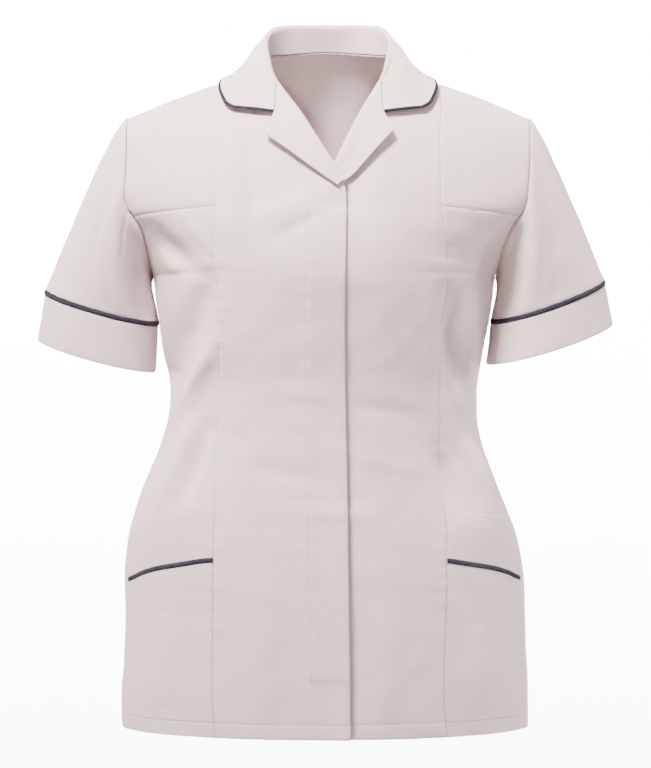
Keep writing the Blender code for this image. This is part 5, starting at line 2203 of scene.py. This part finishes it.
    def cuff(self, band: Callable[[float], Array], length: float) -> bpy.types.Object:
        """Make the cuff, its piping and its stitches.

        Args:
            band: the function of its rings.
            length: how far the cuff reaches below the sleeve.

        Returns:
            The cuff.
        """
        word, turn = self.side.value, self.turn
        start, end = band(GAP), band(PIPING_WIDTH + GAP)
        middle = (start + end) / 2
        out = unit(middle - middle.mean(axis=0))
        piping = self.room.cord_strip(
            f"cuff_piping_{word}", start[::turn], end[::turn], out[::turn], closed=True
        )
        steps = places(PIPING_WIDTH + 2 * GAP, length, self.cuff_step, self.cuff_edge)
        grid = np.array([band(step) for step in steps])
        depth = steps[:, None] - steps[0]
        line, turned = depth - self.cuff_line, self.round_lengths(grid)
        relief = self.cuff_relief * self.sewing.relief(np.broadcast_to(depth, turned.shape), turned)
        relief = relief - self.sewing.edge(steps[-1] - steps[:, None])
        grid = self.swell(grid, relief + self.form.waves(grid) * self.cuff_waves)
        sewn = unsewn(grid)
        sewn[..., 1] = line
        piece = self.room.sheet(
            f"cuff_{word}", grid[:, ::turn], offset=-1.0, closed=True, sewn=sewn[:, ::turn]
        )
        row = int(np.argmin(np.abs(line[:, 0])))
        ring = np.concatenate([grid[row], grid[row, :1]])
        ring_out = unit(ring - ring.mean(axis=0))
        path = ring + ring_out * GAP
        stitches = self.room.stitching(f"cuff_stitching_{word}", path, ring_out)
        return piece

    def build(self) -> list[bpy.types.Object]:
        """Make the sleeve, its piping and its cuff."""
        curve, band, length, around = self.rings()
        return [self.tube(curve, around), self.cuff(band, length)]


@dataclass
class Studio:
    """The white sweep of paper, the soft lights and the camera."""

    floor_z: float = -1.90
    camera_distance: float = 3.0
    camera_z: float = -0.328
    lens: float = 133.9
    back_y: float = 6.8
    half_width: float = 7.0
    front_y: float = -7.0
    wall_height: float = 5.0
    bend: float = 0.2
    bend_segments: int = 16
    nearly: float = 0.01
    air: float = 0.20
    warm: Triple = (1.0, 0.90, 0.89)

    def paper(self) -> None:
        """Model the floor that sweeps up into a backdrop."""
        bpy.ops.object.select_all(action="DESELECT")
        bpy.ops.mesh.primitive_plane_add(size=1.0)
        made = bpy.context.active_object
        made.name = "studio_floor"
        made.scale = (2 * self.half_width, self.back_y - self.front_y, 1.0)
        made.location = (0.0, (self.back_y + self.front_y) / 2, self.floor_z)
        bpy.ops.object.transform_apply(location=True, rotation=True, scale=True)
        bpy.ops.object.mode_set(mode="EDIT")
        mesh = bmesh.from_edit_mesh(made.data)
        for edge in mesh.edges:
            edge.select = all(v.co.y > self.back_y - self.nearly for v in edge.verts)
        bmesh.update_edit_mesh(made.data)
        up = {"value": (0, 0, self.wall_height)}
        bpy.ops.mesh.extrude_region_move(TRANSFORM_OT_translate=up)
        mesh = bmesh.from_edit_mesh(made.data)
        for edge in mesh.edges:
            low = all(abs(v.co.z - self.floor_z) < self.nearly for v in edge.verts)
            edge.select = low and all(v.co.y > self.back_y - self.nearly for v in edge.verts)
        bmesh.update_edit_mesh(made.data)
        bpy.ops.mesh.bevel(offset=self.bend, segments=self.bend_segments, affect="EDGES")
        bpy.ops.object.mode_set(mode="OBJECT")
        bpy.ops.object.shade_smooth()
        made.data.materials.append(StudioFinish().material())
        made.select_set(False)

    def hang(self, lamp: bpy.types.Light, place: Triple, target: Triple) -> None:
        """Hang a lamp that looks at a target.

        Args:
            lamp: the lamp, which gives the light its name.
            place: where it hangs.
            target: what it looks at.
        """
        made = bpy.data.objects.new(lamp.name, lamp)
        made.location = place
        aim = Vector(target) - Vector(place)
        made.rotation_euler = aim.to_track_quat("-Z", "Y").to_euler()
        bpy.context.scene.collection.objects.link(made)

    def light(
        self,
        name: str,
        place: Triple,
        size: float,
        power: float,
        target: Triple = (0.0, 0.0, -0.30),
        colour: Triple = (1.0, 1.0, 1.0),
        spread: float = 180.0,
    ) -> None:
        """Hang a soft square light that looks at a target.

        Args:
            name: the light's name.
            place: where it hangs.
            size: the length of its sides.
            power: its power in watts.
            target: what it looks at.
            colour: its light's colour.
            spread: how wide it shines, in degrees.
        """
        lamp = bpy.data.lights.new(name, "AREA")
        lamp.spread = math.radians(spread)
        lamp.size = size
        lamp.energy = power
        lamp.color = colour
        self.hang(lamp, place, target)

    def spot(
        self,
        name: str,
        place: Triple,
        target: Triple,
        width: float,
        power: float,
        blend: float = 0.4,
        softness: float = 0.3,
    ) -> None:
        """Hang a light with a narrow beam, which leaves the rest of the studio dark.

        Args:
            name: the light's name.
            place: where it hangs.
            target: what it looks at.
            width: its beam's angle in degrees.
            power: its power in watts.
            blend: how much of the beam its soft edge takes.
            softness: the light's own radius.
        """
        lamp = bpy.data.lights.new(name, "SPOT")
        lamp.spot_size = math.radians(width)
        lamp.spot_blend = blend
        lamp.shadow_soft_size = softness
        lamp.energy = power
        self.hang(lamp, place, target)

    def build(self) -> None:
        """Set up the studio."""
        self.paper()
        self.light("key_light", (-1.0, -1.45, 2.35), 0.8, 26.0, (0.0, 0.0, 0.06), self.warm, 40.0)
        self.light("fill_light", (1.0, -2.1, 0.6), 1.8, 11.0, (0.0, 0.0, -0.15), self.warm)
        for side, power in ((Side.RIGHT, 38.0), (Side.LEFT, 78.0)):
            place = (2.4 * side.sign, 0.5, -0.1)
            self.light(f"side_light_{side.value}", place, 1.2, power, colour=self.warm)
        self.spot("neck_light", (0.0, -2.8, -0.50), (0.003, 0.05, -0.010), 3.0, 105.0, 1.0, 0.02)
        self.spot("backdrop_light", (0.0, 2.6, 3.2), (0.0, 6.8, -0.80), 60.0, 90000.0)
        world = bpy.data.worlds.new("studio_air")
        bpy.context.scene.world = world
        world.use_nodes = True
        background = world.node_tree.nodes["Background"]
        background.inputs["Color"].default_value = (1.0, 1.0, 1.0, 1.0)
        background.inputs["Strength"].default_value = self.air
        lens = bpy.data.cameras.new("camera")
        lens.lens = self.lens
        camera = bpy.data.objects.new("camera", lens)
        camera.location = (0.0, -self.camera_distance, self.camera_z)
        camera.rotation_euler = Matrix.Rotation(RIGHT_ANGLE, 3, "X").to_euler()
        bpy.context.scene.collection.objects.link(camera)
        bpy.context.scene.camera = camera


def main() -> None:
    """Dress the tunic, piece by piece."""
    logging.basicConfig(level=logging.INFO, format="%(name)s: %(message)s")
    room = Workroom(ClothFinish().material(), PipingFinish().material(), ThreadFinish().material())
    form, sewing = BodyForm(), Sewing()
    body = Body(form, room, sewing)
    for piece in body.build():
        LOG.info("made %s", piece.name)
    pockets = Pockets(body)
    for side in Side:
        LOG.info("made %s", pockets.build(side).name)
    lapels = {side: Lapel(form, room, side) for side in Side}
    for lapel in lapels.values():
        LOG.info("made %s", lapel.build().name)
    LOG.info("made %s", Collar(form, room, lapels).build().name)
    for side, reach in ((Side.RIGHT, 0.080), (Side.LEFT, 0.055)):
        for piece in Sleeve(form, room, sewing, side, reach).build():
            LOG.info("made %s", piece.name)
    Studio().build()


if __name__ == "__main__":
    main()
